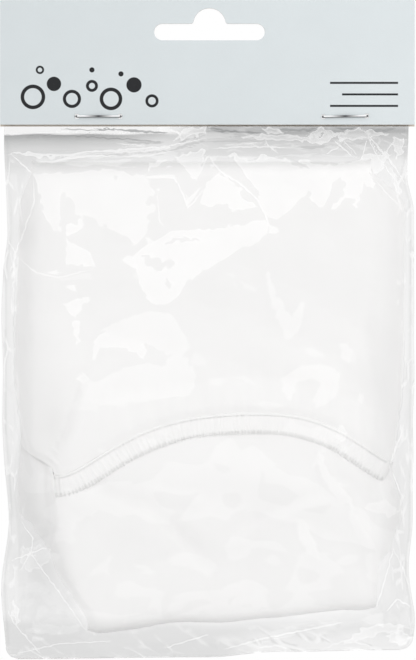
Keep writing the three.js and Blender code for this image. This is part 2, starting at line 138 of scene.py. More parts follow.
def rise(value: Array, span: tuple[float, float], unit_length: float = 1) -> Array:
    """Rises smoothly from 0 to 1.

    Args:
        value: what it depends on.
        span: where the rise starts, and its length.
        unit_length: unit of the span.

    Returns:
        The share at each place.
    """
    start, length = span
    return ease((value - start * unit_length) / (length * unit_length))


def mix(a: Array | float, b: Array | float, t: Array | float) -> Array | float:
    """The value a share t of the way from a to b."""
    return a + (b - a) * t


def swell(distance: Array, length: float) -> Array:
    """Quarter wave from 0 at an edge to 1 at the given length from it."""
    return np.sin(math.pi / 2 * unit(distance / length))


def along(table: Table, place: Array | float) -> Array:
    """Reads a table of places and values, easing from one row to the next.

    Args:
        table: rows of place and value, in rising order of place.
        place: where the table is read.

    Returns:
        The value at each place.
    """
    places, values = np.asarray(table, float).T
    place = np.asarray(place, float)
    row = np.clip(np.searchsorted(places, place, side="left"), 1, len(places) - 1)
    share = ease((place - places[row - 1]) / (places[row] - places[row - 1]))
    return mix(values[row - 1], values[row], share)


def ripple(x: Array, z: Array, wavelength: float, seed: int, waves: int = 14) -> Array:
    """Seeded undulation without direction, about 1 high.

    Args:
        x, z: places on the pack.
        wavelength: typical distance between two crests.
        seed: seed of the draws.
        waves: how many plane waves are added up.

    Returns:
        The height at each place.
    """
    draws = np.random.default_rng(seed)
    total = np.zeros_like(x)
    for _ in range(waves):
        angle, phase = draws.uniform(0, 2 * math.pi, 2)
        pace = 2 * math.pi / (wavelength * draws.uniform(0.7, 1.5))
        total += np.sin(pace * (x * math.cos(angle) + z * math.sin(angle)) + phase)
    return total / math.sqrt(waves / 2)


def crumple(
    x: Array, z: Array, cell: float, seed: int, stretch: float = 1, turn: float = 0,
) -> Array:
    """Shallow facets that meet in sharp creases, as crushed film has them.

    Args:
        x, z: places on the pack.
        cell: typical size of a facet.
        seed: seed of the draws.
        stretch: how much longer than wide the facets are.
        turn: direction of their length, in radians from the X axis.

    Returns:
        The height at each place, from about -0.3 to 0.7.
    """
    draws = np.random.default_rng(seed)
    u = (x * math.cos(turn) + z * math.sin(turn)) / (cell * stretch)
    v = (z * math.cos(turn) - x * math.sin(turn)) / cell
    column, row = np.floor(u).astype(int), np.floor(v).astype(int)
    first_column, first_row = column.min() - 1, row.min() - 1
    counts = (column.max() - first_column + 2, row.max() - first_row + 2)
    jitter = draws.uniform(0.05, 0.95, counts + (2,))
    lift = draws.uniform(-0.35, 0.35, counts)
    nearest = np.full(x.shape, np.inf)
    for step_u in (-1, 0, 1):
        for step_v in (-1, 0, 1):
            a, b = column + step_u, row + step_v
            key = (a - first_column, b - first_row)
            across = u - a - jitter[key + (0,)]
            up = v - b - jitter[key + (1,)]
            nearest = np.minimum(nearest, across**2 + up**2 + lift[key])
    return nearest - 0.3


def route_side(x: Array, z: Array, route: Array, closed: bool = False) -> tuple[Array, Array]:
    """Distance to a line of straight stretches.

    Args:
        x, z: places on the pack.
        route: rows of x and z.
        closed: whether the last point joins the first.

    Returns:
        The distance, negative on the line's right, and the share of its stretches passed.
    """
    points = np.vstack([route, route[:1]]) if closed else route
    best = np.full(x.shape, np.inf)
    share = np.zeros(x.shape)
    for k, (a, b) in enumerate(zip(points[:-1], points[1:])):
        step = b - a
        t = unit(((x - a[0]) * step[0] + (z - a[1]) * step[1]) / (step @ step))
        distance = np.hypot(x - a[0] - t * step[0], z - a[1] - t * step[1])
        left = step[0] * (z - a[1]) - step[1] * (x - a[0]) >= 0
        near = distance < np.abs(best)
        best = np.where(near, np.where(left, distance, -distance), best)
        share = np.where(near, (k + t) / (len(points) - 1), share)
    return best, share


def outline_distance(x: Array, z: Array, outline: Array) -> Array:
    """Distance to a closed outline.

    Args:
        x, z: places on the pack.
        outline: rows of x and z.

    Returns:
        The distance, negative inside.
    """
    distance = np.abs(route_side(x, z, outline, closed=True)[0])
    inside = np.zeros(x.shape, bool)
    for a, b in zip(outline, np.roll(outline, -1, axis=0)):
        if a[1] != b[1]:
            crossing = (a[1] > z) != (b[1] > z)
            inside ^= crossing & (x < (b[0] - a[0]) * (z - a[1]) / (b[1] - a[1]) + a[0])
    return np.where(inside, -distance, distance)


def blurred(height: Array, width: float) -> Array:
    """Smooths a grid of heights by a bell curve.

    Args:
        height: the grid.
        width: width of the curve in rows and columns.

    Returns:
        The smooth grid.
    """
    reach = math.ceil(3 * width)
    bell = np.exp(-0.5 * (np.arange(-reach, reach + 1) / width) ** 2)
    bell /= bell.sum()
    for axis in (0, 1):
        padding = [(reach, reach) if k == axis else (0, 0) for k in range(2)]
        padded = np.pad(height, padding, mode="edge")
        spans = (range(k, k + height.shape[axis]) for k in range(len(bell)))
        height = sum(share * np.take(padded, span, axis=axis) for share, span in zip(bell, spans))
    return height


def deselect_all() -> None:
    """Deselects every object, because operators act on all that is selected."""
    for obj in list(bpy.context.selected_objects):
        obj.select_set(False)
    bpy.context.view_layer.objects.active = None


def make_object(name: str, points: Array, faces: Sequence[Sequence[int]]) -> bpy.types.Object:
    """Adds a smooth mesh object at the origin.

    Args:
        name: name of the piece.
        points: rows of x, y and z.
        faces: corners of each face.

    Returns:
        The new object.
    """
    mesh = bpy.data.meshes.new(name)
    mesh.from_pydata(np.asarray(points, float).tolist(), [], faces)
    mesh.polygons.foreach_set("use_smooth", [True] * len(mesh.polygons))
    mesh.update()
    obj = bpy.data.objects.new(name, mesh)
    bpy.context.scene.collection.objects.link(obj)
    return obj


def set_attribute(obj: bpy.types.Object, name: str, values: Array) -> None:
    """Stores one number for each vertex of a piece."""
    attribute = obj.data.attributes.new(name, "FLOAT", "POINT")
    attribute.data.foreach_set("value", np.asarray(values, np.float32).ravel())


def dress(obj: bpy.types.Object, material: bpy.types.Material) -> None:
    """Gives a piece its one material."""
    obj.data.materials.clear()
    obj.data.materials.append(material)


def grid_faces(rows: int, columns: int) -> Array:
    """Corners of the quads of a grid, seen with rows running down and columns to the right."""
    index = np.arange(rows * columns).reshape(rows, columns)
    corners = [index[:-1, :-1], index[1:, :-1], index[1:, 1:], index[:-1, 1:]]
    return np.stack(corners, axis=-1).reshape(-1, 4)


class Wiring:
    """Adds nodes to one shader tree and joins them."""

    def __init__(self, tree: bpy.types.NodeTree) -> None:
        """Starts on a tree, which keeps the nodes that it has."""
        self.tree = tree

    def node(self, kind: str, settings: dict | None = None, **sockets: object) -> bpy.types.Node:
        """Adds a node.

        Args:
            kind: type name without the ShaderNode in front.
            settings: properties of the node.
            sockets: value or source of each input, by its name with underscores for spaces.

        Returns:
            The new node.
        """
        node = self.tree.nodes.new("ShaderNode" + kind)
        for name, value in (settings or {}).items():
            setattr(node, name, value)
        for name, value in sockets.items():
            self.feed(node.inputs[name.replace("_", " ")], value)
        return node

    def feed(self, socket: bpy.types.NodeSocket, value: object) -> None:
        """Gives an input what it reads.

        Args:
            socket: the input.
            value: an output to link, or a plain value to set.
        """
        if isinstance(value, bpy.types.NodeSocket):
            self.tree.links.new(value, socket)
        else:
            socket.default_value = value

    def _worked(self, kind: str, operation: str, values: Sequence[object]) -> bpy.types.Node:
        """Adds a math node of either kind, with its inputs in order."""
        node = self.node(kind, {"operation": operation})
        for socket, value in zip(node.inputs, values):
            self.feed(socket, value)
        return node

    def sum(self, operation: str, *values: object) -> bpy.types.NodeSocket:
        """One math node of the given operation and inputs."""
        return self._worked("Math", operation, values).outputs[0]

    def ramp(
        self, value: object, low: float, high: float, to_low: float = 0, to_high: float = 1,
    ) -> bpy.types.NodeSocket:
        """A value carried from one range to another and kept in it."""
        ends = {"From_Min": low, "From_Max": high, "To_Min": to_low, "To_Max": to_high}
        return self.node("MapRange", {"clamp": True}, Value=value, **ends).outputs["Result"]

    def blend(self, share: object, first: object, second: object) -> bpy.types.NodeSocket:
        """Colour a share of the way from the first to the second."""
        node = self.node("Mix", {"data_type": "RGBA"})
        for index, value in ((0, share), (6, first), (7, second)):
            self.feed(node.inputs[index], value)
        return node.outputs[2]

    def vector(self, operation: str, *values: object) -> bpy.types.NodeSocket:
        """One vector math node of the given operation and inputs."""
        return self._worked("VectorMath", operation, values).outputs[0]

    def apart(self, first: object, second: object) -> bpy.types.NodeSocket:
        """Distance between two places."""
        return self._worked("VectorMath", "DISTANCE", (first, second)).outputs["Value"]

    def axes(self, vector: object) -> bpy.types.NodeOutputs:
        """X, Y and Z of a vector."""
        return self.node("SeparateXYZ", Vector=vector).outputs

    def scaled(self, vector: object, scale: object) -> bpy.types.NodeSocket:
        """A vector times a number."""
        node = self.node("VectorMath", {"operation": "SCALE"}, Scale=scale)
        self.feed(node.inputs[0], vector)
        return node.outputs[0]

    def stored(self, name: str) -> bpy.types.NodeSocket:
        """A number stored on the mesh."""
        return self.node("Attribute", {"attribute_name": name}).outputs["Fac"]

    def place(self) -> bpy.types.NodeSocket:
        """Object coordinates, which are the pack's own."""
        return self.node("TexCoord").outputs["Object"]


def new_group(
    name: str, inputs: dict[str, float | tuple], outputs: Sequence[str],
) -> tuple[bpy.types.NodeTree, Wiring, bpy.types.NodeOutputs, bpy.types.NodeInputs]:
    """Makes an empty shader group.

    Args:
        name: name of the group.
        inputs: default of each input; a tuple makes it a vector.
        outputs: names of the outputs, each a value.

    Returns:
        The group's tree, its wiring, what it is given and what it puts out.
    """
    tree = bpy.data.node_groups.new(name, "ShaderNodeTree")
    for key, default in inputs.items():
        kind = "NodeSocketVector" if isinstance(default, tuple) else "NodeSocketFloat"
        tree.interface.new_socket(key, in_out="INPUT", socket_type=kind).default_value = default
    for key in outputs:
        tree.interface.new_socket(key, in_out="OUTPUT", socket_type="NodeSocketFloat")
    entry = tree.nodes.new("NodeGroupInput")
    leave = tree.nodes.new("NodeGroupOutput")
    return tree, Wiring(tree), entry.outputs, leave.inputs


@dataclass
class SharedEffects:
    """Shader groups that several finishes of the pack use."""

    fibre: bpy.types.NodeTree = field(init=False)
    crushed_film: bpy.types.NodeTree = field(init=False)
    printed_ring: bpy.types.NodeTree = field(init=False)
    printed_rule: bpy.types.NodeTree = field(init=False)

    def __post_init__(self) -> None:
        """Builds the groups."""
        self.fibre = self._fibre()
        self.crushed_film = self._crushed_film()
        self.printed_ring = self._printed_ring()
        self.printed_rule = self._printed_rule()

    @staticmethod
    def _fibre() -> bpy.types.NodeTree:
        """Pressed fibres: a tone that wanders about 1 and a fine relief.

        Returns:
            A group from Place, Fibre Size, Cloud Size and Contrast to Tone and Relief.
        """
        inputs = {"Place": ORIGIN, "Fibre Size": 0.3 * MM, "Cloud Size": 10 * MM, "Contrast": 0.02}
        tree, wiring, given, result = new_group("pressed_fibre", inputs, ("Tone", "Relief"))
        fine = wiring.sum("DIVIDE", 1.0, given["Fibre Size"])
        broad = wiring.sum("DIVIDE", 1.0, given["Cloud Size"])
        place = given["Place"]
        fibres = wiring.node("TexNoise", Vector=place, Scale=fine, Detail=3.0, Distortion=1.2)
        clouds = wiring.node("TexNoise", Vector=place, Scale=broad, Detail=2.0)
        spread = wiring.sum("ADD", fibres.outputs[0], clouds.outputs[0])
        swing = wiring.sum("MULTIPLY", wiring.sum("SUBTRACT", spread, 1.0), given["Contrast"])
        wiring.feed(result["Tone"], wiring.sum("ADD", swing, 1.0))
        wiring.feed(result["Relief"], fibres.outputs[0])
        return tree

    @staticmethod
    def _crushed_film() -> bpy.types.NodeTree:
        """Flat facets of crushed film that meet in sharp creases; Valley marks where painted shade
        lies along them.

        Returns:
            A group from Place, Turn, Pace and Wander to Tilt X, Tilt Z, Ridge and Valley.
        """
        inputs = {"Place": ORIGIN, "Turn": 0.0, "Pace": (100.0, 0.0, 100.0), "Wander": 0.6}
        outputs = ("Tilt X", "Tilt Z", "Ridge", "Valley")
        tree, wiring, given, result = new_group("crushed_film", inputs, outputs)
        turned = wiring.node(
            "VectorRotate", {"rotation_type": "Y_AXIS"}, Vector=given["Place"], Angle=given["Turn"],
        )
        paced = wiring.vector("MULTIPLY", turned.outputs[0], given["Pace"])
        noise = wiring.node("TexNoise", Vector=paced, Scale=0.7, Detail=1.0).outputs["Color"]
        wander = wiring.scaled(wiring.vector("SUBTRACT", noise, HALF), given["Wander"])
        cells = wiring.vector("ADD", paced, wander)
        facet = wiring.node("TexVoronoi", {"feature": "F1"}, Vector=cells, Scale=1.0)
        tilt = wiring.axes(wiring.vector("SUBTRACT", facet.outputs["Color"], HALF))
        edge = wiring.node("TexVoronoi", {"feature": "DISTANCE_TO_EDGE"}, Vector=cells, Scale=1.0)
        seen = wiring.ramp(wiring.node("TexNoise", Vector=paced, Scale=0.9).outputs[0], 0.48, 0.60)
        apart = edge.outputs["Distance"]
        ridge = wiring.ramp(apart, 0.03, 0.09, 1, 0)
        beside = wiring.sum("ABSOLUTE", wiring.sum("SUBTRACT", apart, 0.15))
        valley_painted_shade = wiring.ramp(beside, 0.03, 0.08, 1, 0)
        wiring.feed(result["Tilt X"], tilt["X"])
        wiring.feed(result["Tilt Z"], tilt["Y"])
        wiring.feed(result["Ridge"], wiring.sum("MULTIPLY", ridge, seen))
        wiring.feed(result["Valley"], wiring.sum("MULTIPLY", valley_painted_shade, seen))
        return tree

    @staticmethod
    def _printed_ring() -> bpy.types.NodeTree:
        """One ring printed on the front of the card.

        Returns:
            A group from Place, Middle, Radius and Line to Ink.
        """
        inputs = {"Place": ORIGIN, "Middle": ORIGIN, "Radius": 3 * MM, "Line": 0.4 * MM}
        tree, wiring, given, result = new_group("printed_ring", inputs, ("Ink",))
        flat = wiring.vector("MULTIPLY", given["Place"], (1, 0, 1))
        apart = wiring.apart(flat, given["Middle"])
        off_line = wiring.sum("ABSOLUTE", wiring.sum("SUBTRACT", apart, given["Radius"]))
        clear = wiring.sum("SUBTRACT", wiring.sum("MULTIPLY", given["Line"], 0.5), off_line)
        wiring.feed(result["Ink"], wiring.ramp(clear, -INK_EDGE, INK_EDGE))
        return tree

    @staticmethod
    def _printed_rule() -> bpy.types.NodeTree:
        """One level rule printed on the front of the card.

        Returns:
            A group from Place, Middle, Length and Line to Ink.
        """
        inputs = {"Place": ORIGIN, "Middle": ORIGIN, "Length": 20 * MM, "Line": 0.5 * MM}
        tree, wiring, given, result = new_group("printed_rule", inputs, ("Ink",))
        away = wiring.axes(wiring.vector("SUBTRACT", given["Place"], given["Middle"]))
        past = []
        for axis, size in (("X", "Length"), ("Z", "Line")):
            half = wiring.sum("MULTIPLY", given[size], 0.5)
            past.append(wiring.sum("SUBTRACT", wiring.sum("ABSOLUTE", away[axis]), half))
        wiring.feed(result["Ink"], wiring.ramp(wiring.sum("MAXIMUM", *past), INK_EDGE, -INK_EDGE))
        return tree


class Finish:
    """A material under construction: its wiring, its surface shader and the shared effects."""

    def __init__(self, name: str, effects: SharedEffects) -> None:
        """Starts a material that has only its output.

        Args:
            name: the material's name.
            effects: the shared shader groups.
        """
        self.effects = effects
        self.material = bpy.data.materials.new(name)
        self.material.use_nodes = True
        tree = self.material.node_tree
        tree.nodes.clear()
        self.output = tree.nodes.new("ShaderNodeOutputMaterial")
        self.wiring = Wiring(tree)

    def shared(self, tree: bpy.types.NodeTree, **sockets: object) -> bpy.types.NodeOutputs:
        """Places a shared effect with this finish's own values, and gives its outputs."""
        return self.wiring.node("Group", {"node_tree": tree}, **sockets).outputs

    def bump(self, height: object, depth: float, normal: object = None) -> bpy.types.NodeSocket:
        """A relief of the given depth in metres, over another one if there is any."""
        under = {} if normal is None else {"Normal": normal}
        node = self.wiring.node("Bump", Height=height, Distance=depth, Strength=1.0, **under)
        return node.outputs[0]

    def surface(self, shader: bpy.types.Node) -> bpy.types.Material:
        """Ends the tree in the given shader."""
        self.wiring.feed(self.output.inputs["Surface"], shader.outputs[0])
        return self.material

    def opaque(self, colour: object, **sockets: object) -> bpy.types.Material:
        """Ends the tree in an opaque surface of the given colour and levels."""
        return self.surface(self.wiring.node("BsdfPrincipled", Base_Color=colour, **sockets))


@dataclass(frozen=True)
class BoardFinish:
    """Uncoated board, printed pale blue grey outside and kraft inside and at its cut edges, with a
    painted light falloff across it and painted shadows round the staples' punctures.
    """

    printed: tuple = (0.655, 0.70, 0.715, 1)
    kraft: tuple = (0.66, 0.60, 0.53, 1)
    ink_and_painted_shadow: tuple = (0.012, 0.012, 0.014, 1)
    cover: float = 0.98
    roughness: float = 0.85
    gloss: float = 0.25
    pulp: float = 0.35 * MM
    cloud: float = 14 * MM
    contrast: float = 0.05
    # Painted light falloff: brightness from the card's left to its right
    painted_light_falloff: tuple = (0.955, 1.045)
    tooth: float = 0.02 * MM
    rule_line: float = 0.6 * MM
    rule_spacing_px: float = 11.5

    # Bubbles: middle, radius and width of the line in the picture
    bubbles_px: tuple = (
        (33, 97, 10.5, 3.6), (54, 84, 3.6, 7.2), (72, 99, 7.5, 3.2), (92, 86, 4.5, 3),
        (111, 99, 9.5, 3.6), (134, 85, 3.8, 7.6), (152, 101, 5.2, 2.8), (40, 70, 3.2, 2),
        (92, 70, 1.3, 2.6), (121, 74, 1.3, 2.6),
    )
    # Painted shadows round the punctures, where the staples' legs go through the card
    puncture_shadows_px: tuple = ((76.4, 116.4), (120.6, 115.9), (323.4, 116.8), (366.6, 115.8))
    puncture_shadow: float = 0.52 * MM
    # Rules: right end and length in the picture, from the top one down
    rules_px: tuple = ((398, 68), (398, 56), (398, 68))
    first_rule_px: float = 83

    def build(self, effects: SharedEffects, fold: float) -> bpy.types.Material:
        """Makes the board.

        Args:
            effects: the shared shader groups.
            fold: height below which a face square to the panels is a cut edge.

        Returns:
            The material.
        """
        finish = Finish("header_board", effects)
        wiring = finish.wiring
        place = wiring.place()
        point = wiring.axes(place)
        facing = wiring.axes(wiring.node("NewGeometry").outputs["Normal"])["Y"]
        sideways = wiring.sum("LESS_THAN", wiring.sum("ABSOLUTE", facing), 0.5)
        cut = wiring.sum("MULTIPLY", sideways, wiring.sum("LESS_THAN", point["Z"], fold))
        inward = wiring.sum("LESS_THAN", wiring.sum("MULTIPLY", facing, point["Y"]), 0.0)
        bare = wiring.sum("MAXIMUM", cut, inward)
        front = wiring.sum("LESS_THAN", facing, -0.5)
        outside = wiring.sum("MULTIPLY", front, wiring.sum("SUBTRACT", 1.0, bare))
        # Ink of the print and painted shadows round the punctures, on the outside only
        printed = wiring.sum("MULTIPLY", self._ink_and_painted_shadows(finish, place), outside)
        fibre = finish.shared(
            effects.fibre, Place=place, Fibre_Size=self.pulp, Cloud_Size=self.cloud,
            Contrast=self.contrast,
        )
        paper = wiring.blend(bare, self.printed, self.kraft)
        inked = wiring.blend(wiring.sum("MULTIPLY", printed, self.cover), paper, self.ink_and_painted_shadow)
        # Painted light falloff across the card
        painted_falloff = wiring.ramp(point["X"], -0.06, 0.06, *self.painted_light_falloff)
        return finish.opaque(
            wiring.scaled(wiring.scaled(inked, fibre["Tone"]), painted_falloff), Roughness=self.roughness,
            Specular_IOR_Level=self.gloss, Normal=finish.bump(fibre["Relief"], self.tooth),
        )

    def _ink_and_painted_shadows(self, finish: Finish, place: object) -> bpy.types.NodeSocket:
        """Prints the bubbles and the rules, and paints the shadows round the holes of the staples'
        legs.

        Args:
            finish: the board under construction.
            place: coordinates of the pack.

        Returns:
            Where there is ink or painted shadow, from 0 to 1.
        """
        pixel = PICTURE.pixel
        # Size of each painted shadow round a puncture
        hole = (self.puncture_shadow / pixel / 2, self.puncture_shadow / pixel)
        puncture_shadows = [(*middle, *hole) for middle in self.puncture_shadows_px]
        marks = []
        for middle_x, middle_z, radius, line in (*self.bubbles_px, *puncture_shadows):
            marks.append(finish.shared(
                finish.effects.printed_ring, Place=place, Radius=radius * pixel, Line=line * pixel,
                Middle=(PICTURE.x(middle_x), 0, PICTURE.z(middle_z)),
            )["Ink"])
        for row, (end, length) in enumerate(self.rules_px):
            level = self.first_rule_px + row * self.rule_spacing_px
            marks.append(finish.shared(
                finish.effects.printed_rule, Place=place, Length=length * pixel,
                Line=self.rule_line, Middle=(PICTURE.x(end - length / 2), 0, PICTURE.z(level)),
            )["Ink"])
        ink_and_painted_shadow = marks[0]
        for mark in marks[1:]:
            ink_and_painted_shadow = finish.wiring.sum("MAXIMUM", ink_and_painted_shadow, mark)
        return ink_and_painted_shadow


@dataclass(frozen=True)
class WireFinish:
    """Bright galvanised wire, drawn lengthways, with painted shade on its underside and its bent
    ends.
    """

    metal: tuple = (0.93, 0.935, 0.94, 1)
    # Painted shade colour, for the faces that look down or sideways
    shaded: tuple = (0.10, 0.10, 0.105, 1)
    metallic: float = 0.1
    gloss: float = 0.2
    roughness: float = 0.34
    dull: float = 0.5
    stretch: tuple = (0.08, 1, 1)
    streak: float = 0.12 * MM
    cloud: float = 3 * MM
    scratch: float = 0.006 * MM

    def build(self, effects: SharedEffects) -> bpy.types.Material:
        """Makes the wire.

        Args:
            effects: the shared shader groups.

        Returns:
            The material.
        """
        finish = Finish("staple_wire", effects)
        wiring = finish.wiring
        stretched = wiring.node("Mapping", Vector=wiring.place(), Scale=self.stretch).outputs[0]
        streaks = finish.shared(
            effects.fibre, Place=stretched, Fibre_Size=self.streak, Cloud_Size=self.cloud,
            Contrast=0.25,
        )
        # Painted shade: faces that look sideways, as at the bent ends, or downwards get the shaded
        # colour
        facing = wiring.axes(wiring.node("NewGeometry").outputs["Normal"])
        sideways = wiring.ramp(wiring.sum("ABSOLUTE", facing["X"]), 0.12, 0.4)
        underside_painted_shade = wiring.ramp(facing["Z"], -0.75, -0.3, 1, 0)
        turned = wiring.sum("MAXIMUM", sideways, underside_painted_shade)
        return finish.opaque(
            wiring.blend(turned, self.metal, self.shaded), Metallic=self.metallic,
            Specular_IOR_Level=self.gloss,
            Roughness=wiring.ramp(streaks["Tone"], 0.9, 1.1, self.roughness, self.dull),
            Normal=finish.bump(streaks["Relief"], self.scratch),
        )


@dataclass(frozen=True)
class CrushedStretch:
    """How the film is crushed in one part of the bag, and how much painted shade its valleys get.
    """

    share_name: str
    turn: float
    length: float
    width: float
    tilt: float
    ridge: float
    valley_painted_shade: float


@dataclass(frozen=True)
class FilmFinish:
    """Clear glossy film: flat facets and sharp creases, with painted shade where it is steep or
    folded and in set places.
    """

    mirror: float = 0.045
    roughness: float = 0.02
    clear: tuple = (0.996, 0.995, 0.994, 1)
    # Painted shade: the grey that the clear colour goes to under full painted shade
    painted_shade_grey: tuple = (0.49, 0.495, 0.497, 1)
    wrinkle: float = 1.1 * MM
    wrinkle_depth: float = 0.003 * MM
    leaning_normal: tuple = (0.0, -0.968, 0.25)
    curled_edge: float = 0.55 * MM
    curl_gain: float = 1.5
    patch_cloud: float = 9 * MM
    # Share of the painted shade that is cleared where the film mirrors, a painted brightening
    painted_clearing_share: float = 0.92

    STRETCHES = (
        CrushedStretch("side_crush", math.pi / 2, 9 * MM, 3.0 * MM, 0.40, 0.22, 0.12),
        CrushedStretch("foot_crush", -0.45, 9 * MM, 3.4 * MM, 0.5, 0.22, 0.20),
        CrushedStretch("head_crush", -0.25, 7 * MM, 2.6 * MM, 0.5, 0.12, 0.2),
        CrushedStretch("body_crush", 0.6, 13 * MM, 9 * MM, 0.08, 0.0, 0.0),
    )

    def build(self, effects: SharedEffects) -> bpy.types.Material:
        """Makes the film, which reads its folds and its painted shade from numbers stored on its
        mesh.

        Args:
            effects: the shared shader groups.

        Returns:
            The material.
        """
        finish = Finish("clear_film", effects)
        wiring = finish.wiring
        place, geometry = wiring.place(), wiring.node("NewGeometry").outputs
        tilt, ridge, valley_painted_shade = self._crushed(finish, place)
        patch, patch_level = self._patch(wiring, place)
        bright, bright_level = self._lens(wiring, "bright")
        # The dull streaks are painted shade lines
        _, painted_shade_level = self._lens(wiring, "dull")
        level = wiring.sum("MAXIMUM", wiring.sum("MAXIMUM", patch_level, bright_level), ridge)
        crest = wiring.ramp(ridge, 0.0, 0.1)
        folded = wiring.sum("MAXIMUM", wiring.sum("MAXIMUM", patch, bright), crest)
        outwards = wiring.sum("SUBTRACT", 1.0, geometry["Backfacing"])
        mirroring = wiring.sum("MULTIPLY", folded, outwards)
        loose = wiring.vector("ADD", geometry["Normal"], tilt)
        pull = wiring.scaled(wiring.vector("SUBTRACT", self.leaning_normal, loose), mirroring)
        leaning = wiring.vector("NORMALIZE", wiring.vector("ADD", loose, pull))
        noise = wiring.node("TexNoise", Vector=place, Scale=1 / self.wrinkle, Detail=2.0)
        relief = finish.bump(noise.outputs[0], self.wrinkle_depth, leaning)
        # Painted shade: the stored painted shade, the dull streaks and the crease valleys grey the
        # clear colour; where the film mirrors, most of it is cleared, a painted brightening
        dull = wiring.sum("MAXIMUM", painted_shade_level, valley_painted_shade)
        painted_brightening = wiring.sum("MULTIPLY", wiring.ramp(level, 0.0, 0.5), self.painted_clearing_share)
        painted_shade = wiring.sum("MULTIPLY", wiring.sum("MAXIMUM", wiring.stored("painted_shade"), dull),
                          wiring.sum("SUBTRACT", 1.0, painted_brightening))
        through = wiring.node("BsdfTransparent", Color=wiring.blend(painted_shade, self.clear, self.painted_shade_grey))
        gloss = wiring.node("BsdfGlossy", Roughness=self.roughness, Normal=relief)
        facing = wiring.node("LayerWeight", Blend=0.5).outputs["Facing"]
        grazing = wiring.sum("POWER", facing, 5.0)
        share = wiring.sum("MULTIPLY_ADD", grazing, 1 - self.mirror, self.mirror)
        shown = wiring.sum("MULTIPLY_ADD", mirroring, wiring.sum("SUBTRACT", level, 1.0), 1.0)
        shader = wiring.node("MixShader")
        parts = (wiring.sum("MULTIPLY", share, shown), through.outputs[0], gloss.outputs[0])
        for socket, value in zip(shader.inputs, parts):
            wiring.feed(socket, value)
        return finish.surface(shader)

    def _crushed(self, finish: Finish, place: object) -> tuple[object, object, object]:
        """Adds up the crushed stretches of the film.

        Args:
            finish: the film under construction.
            place: coordinates of the pack.

        Returns:
            The tilt of the facets, how strong their ridges are, and the painted shade of their
            valleys.
        """
        wiring = finish.wiring
        tilt_x, tilt_z, ridge, valley_painted_shade = 0.0, 0.0, 0.0, 0.0
        for stretch in self.STRETCHES:
            share = wiring.stored(stretch.share_name)
            facets = finish.shared(
                finish.effects.crushed_film, Place=place, Turn=stretch.turn,
                Pace=(1 / stretch.length, 0.0, 1 / stretch.width),
            )
            lean = wiring.sum("MULTIPLY", share, stretch.tilt)
            tilt_x = wiring.sum("MULTIPLY_ADD", facets["Tilt X"], lean, tilt_x)
            tilt_z = wiring.sum("MULTIPLY_ADD", facets["Tilt Z"], lean, tilt_z)
            reach = wiring.ramp(share, 0.05, 0.5)
            strong = wiring.sum("MULTIPLY", reach, stretch.ridge)
            ridge = wiring.sum("MAXIMUM", ridge, wiring.sum("MULTIPLY", facets["Ridge"], strong))
            strong = wiring.sum("MULTIPLY", reach, stretch.valley_painted_shade)
            valley_painted_shade = wiring.sum("MAXIMUM", valley_painted_shade, wiring.sum("MULTIPLY", facets["Valley"], strong))
        return wiring.node("CombineXYZ", X=tilt_x, Y=0.0, Z=tilt_z).outputs[0], ridge, valley_painted_shade

    def _patch(self, wiring: Wiring, place: object) -> tuple[object, object]:
        """Shows the leaning patches, which mirror most along their curled edges.

        Args:
            wiring: the film's wiring.
            place: coordinates of the pack.

        Returns:
            The mask of the patches, and how strongly they mirror.
        """
        apart = wiring.stored("patch")
        mask = wiring.ramp(apart, -0.06 * MM, 0.10 * MM, 1, 0)
        curl = wiring.ramp(apart, -self.curled_edge, -0.1 * MM, 0, self.curl_gain)
        clouds = wiring.node("TexNoise", Vector=place, Scale=1 / self.patch_cloud, Detail=1.0)
        uneven = wiring.ramp(clouds.outputs[0], 0.35, 0.65, 0.72, 1.12)
        gain = wiring.sum("ADD", uneven, curl)
        strength = wiring.sum("MULTIPLY", wiring.stored("patch_strength"), gain)
        return mask, wiring.sum("MULTIPLY", mask, strength)

    @staticmethod
    def _lens(wiring: Wiring, name: str) -> tuple[object, object]:
        """Shows the streaks of one kind.

        Args:
            wiring: the film's wiring.
            name: what the kind's stored numbers are named after.

        Returns:
            The mask of the streaks, and their strength.
        """
        side = wiring.sum("ABSOLUTE", wiring.stored(name + "_side"))
        near = wiring.ramp(wiring.stored(name + "_near"), 3.5, 5, 1, 0)
        mask = wiring.sum("MULTIPLY", wiring.ramp(side, 0.6, 1.3, 1, 0), near)
        return mask, wiring.sum("MULTIPLY", mask, wiring.stored(name + "_strength"))


@dataclass(frozen=True)
class SheetFinish:
    """Soft white sheet of the cap: pressed fibres with a matte, slightly silky surface."""

    name: str
    white: tuple = (0.947, 0.943, 0.940)
    roughness: float = 0.62
    sheen: float = 0.15
    gloss: float = 0.3
    fibre: float = 0.28 * MM
    cloud: float = 9 * MM
    contrast: float = 0.02
    relief: float = 0.018 * MM
    rib_pitch: float = 0
    rib_relief: float = 0

    def build(self, effects: SharedEffects) -> bpy.types.Material:
        """Makes the sheet, with ribs along the seam where it has a rib pitch.

        Args:
            effects: the shared shader groups.

        Returns:
            The material.
        """
        finish = Finish(self.name, effects)
        wiring = finish.wiring
        fibre = finish.shared(
            effects.fibre, Place=wiring.place(), Fibre_Size=self.fibre, Cloud_Size=self.cloud,
            Contrast=self.contrast,
        )
        normal = finish.bump(fibre["Relief"], self.relief)
        if self.rib_pitch:
            pace = wiring.sum("MULTIPLY", wiring.stored("seam"), 2 * math.pi / self.rib_pitch)
            normal = finish.bump(wiring.sum("SINE", pace), self.rib_relief, normal)
        return finish.opaque(
            wiring.scaled(self.white, fibre["Tone"]), Normal=normal, Roughness=self.roughness,
            Sheen_Weight=self.sheen, Specular_IOR_Level=self.gloss,
        )


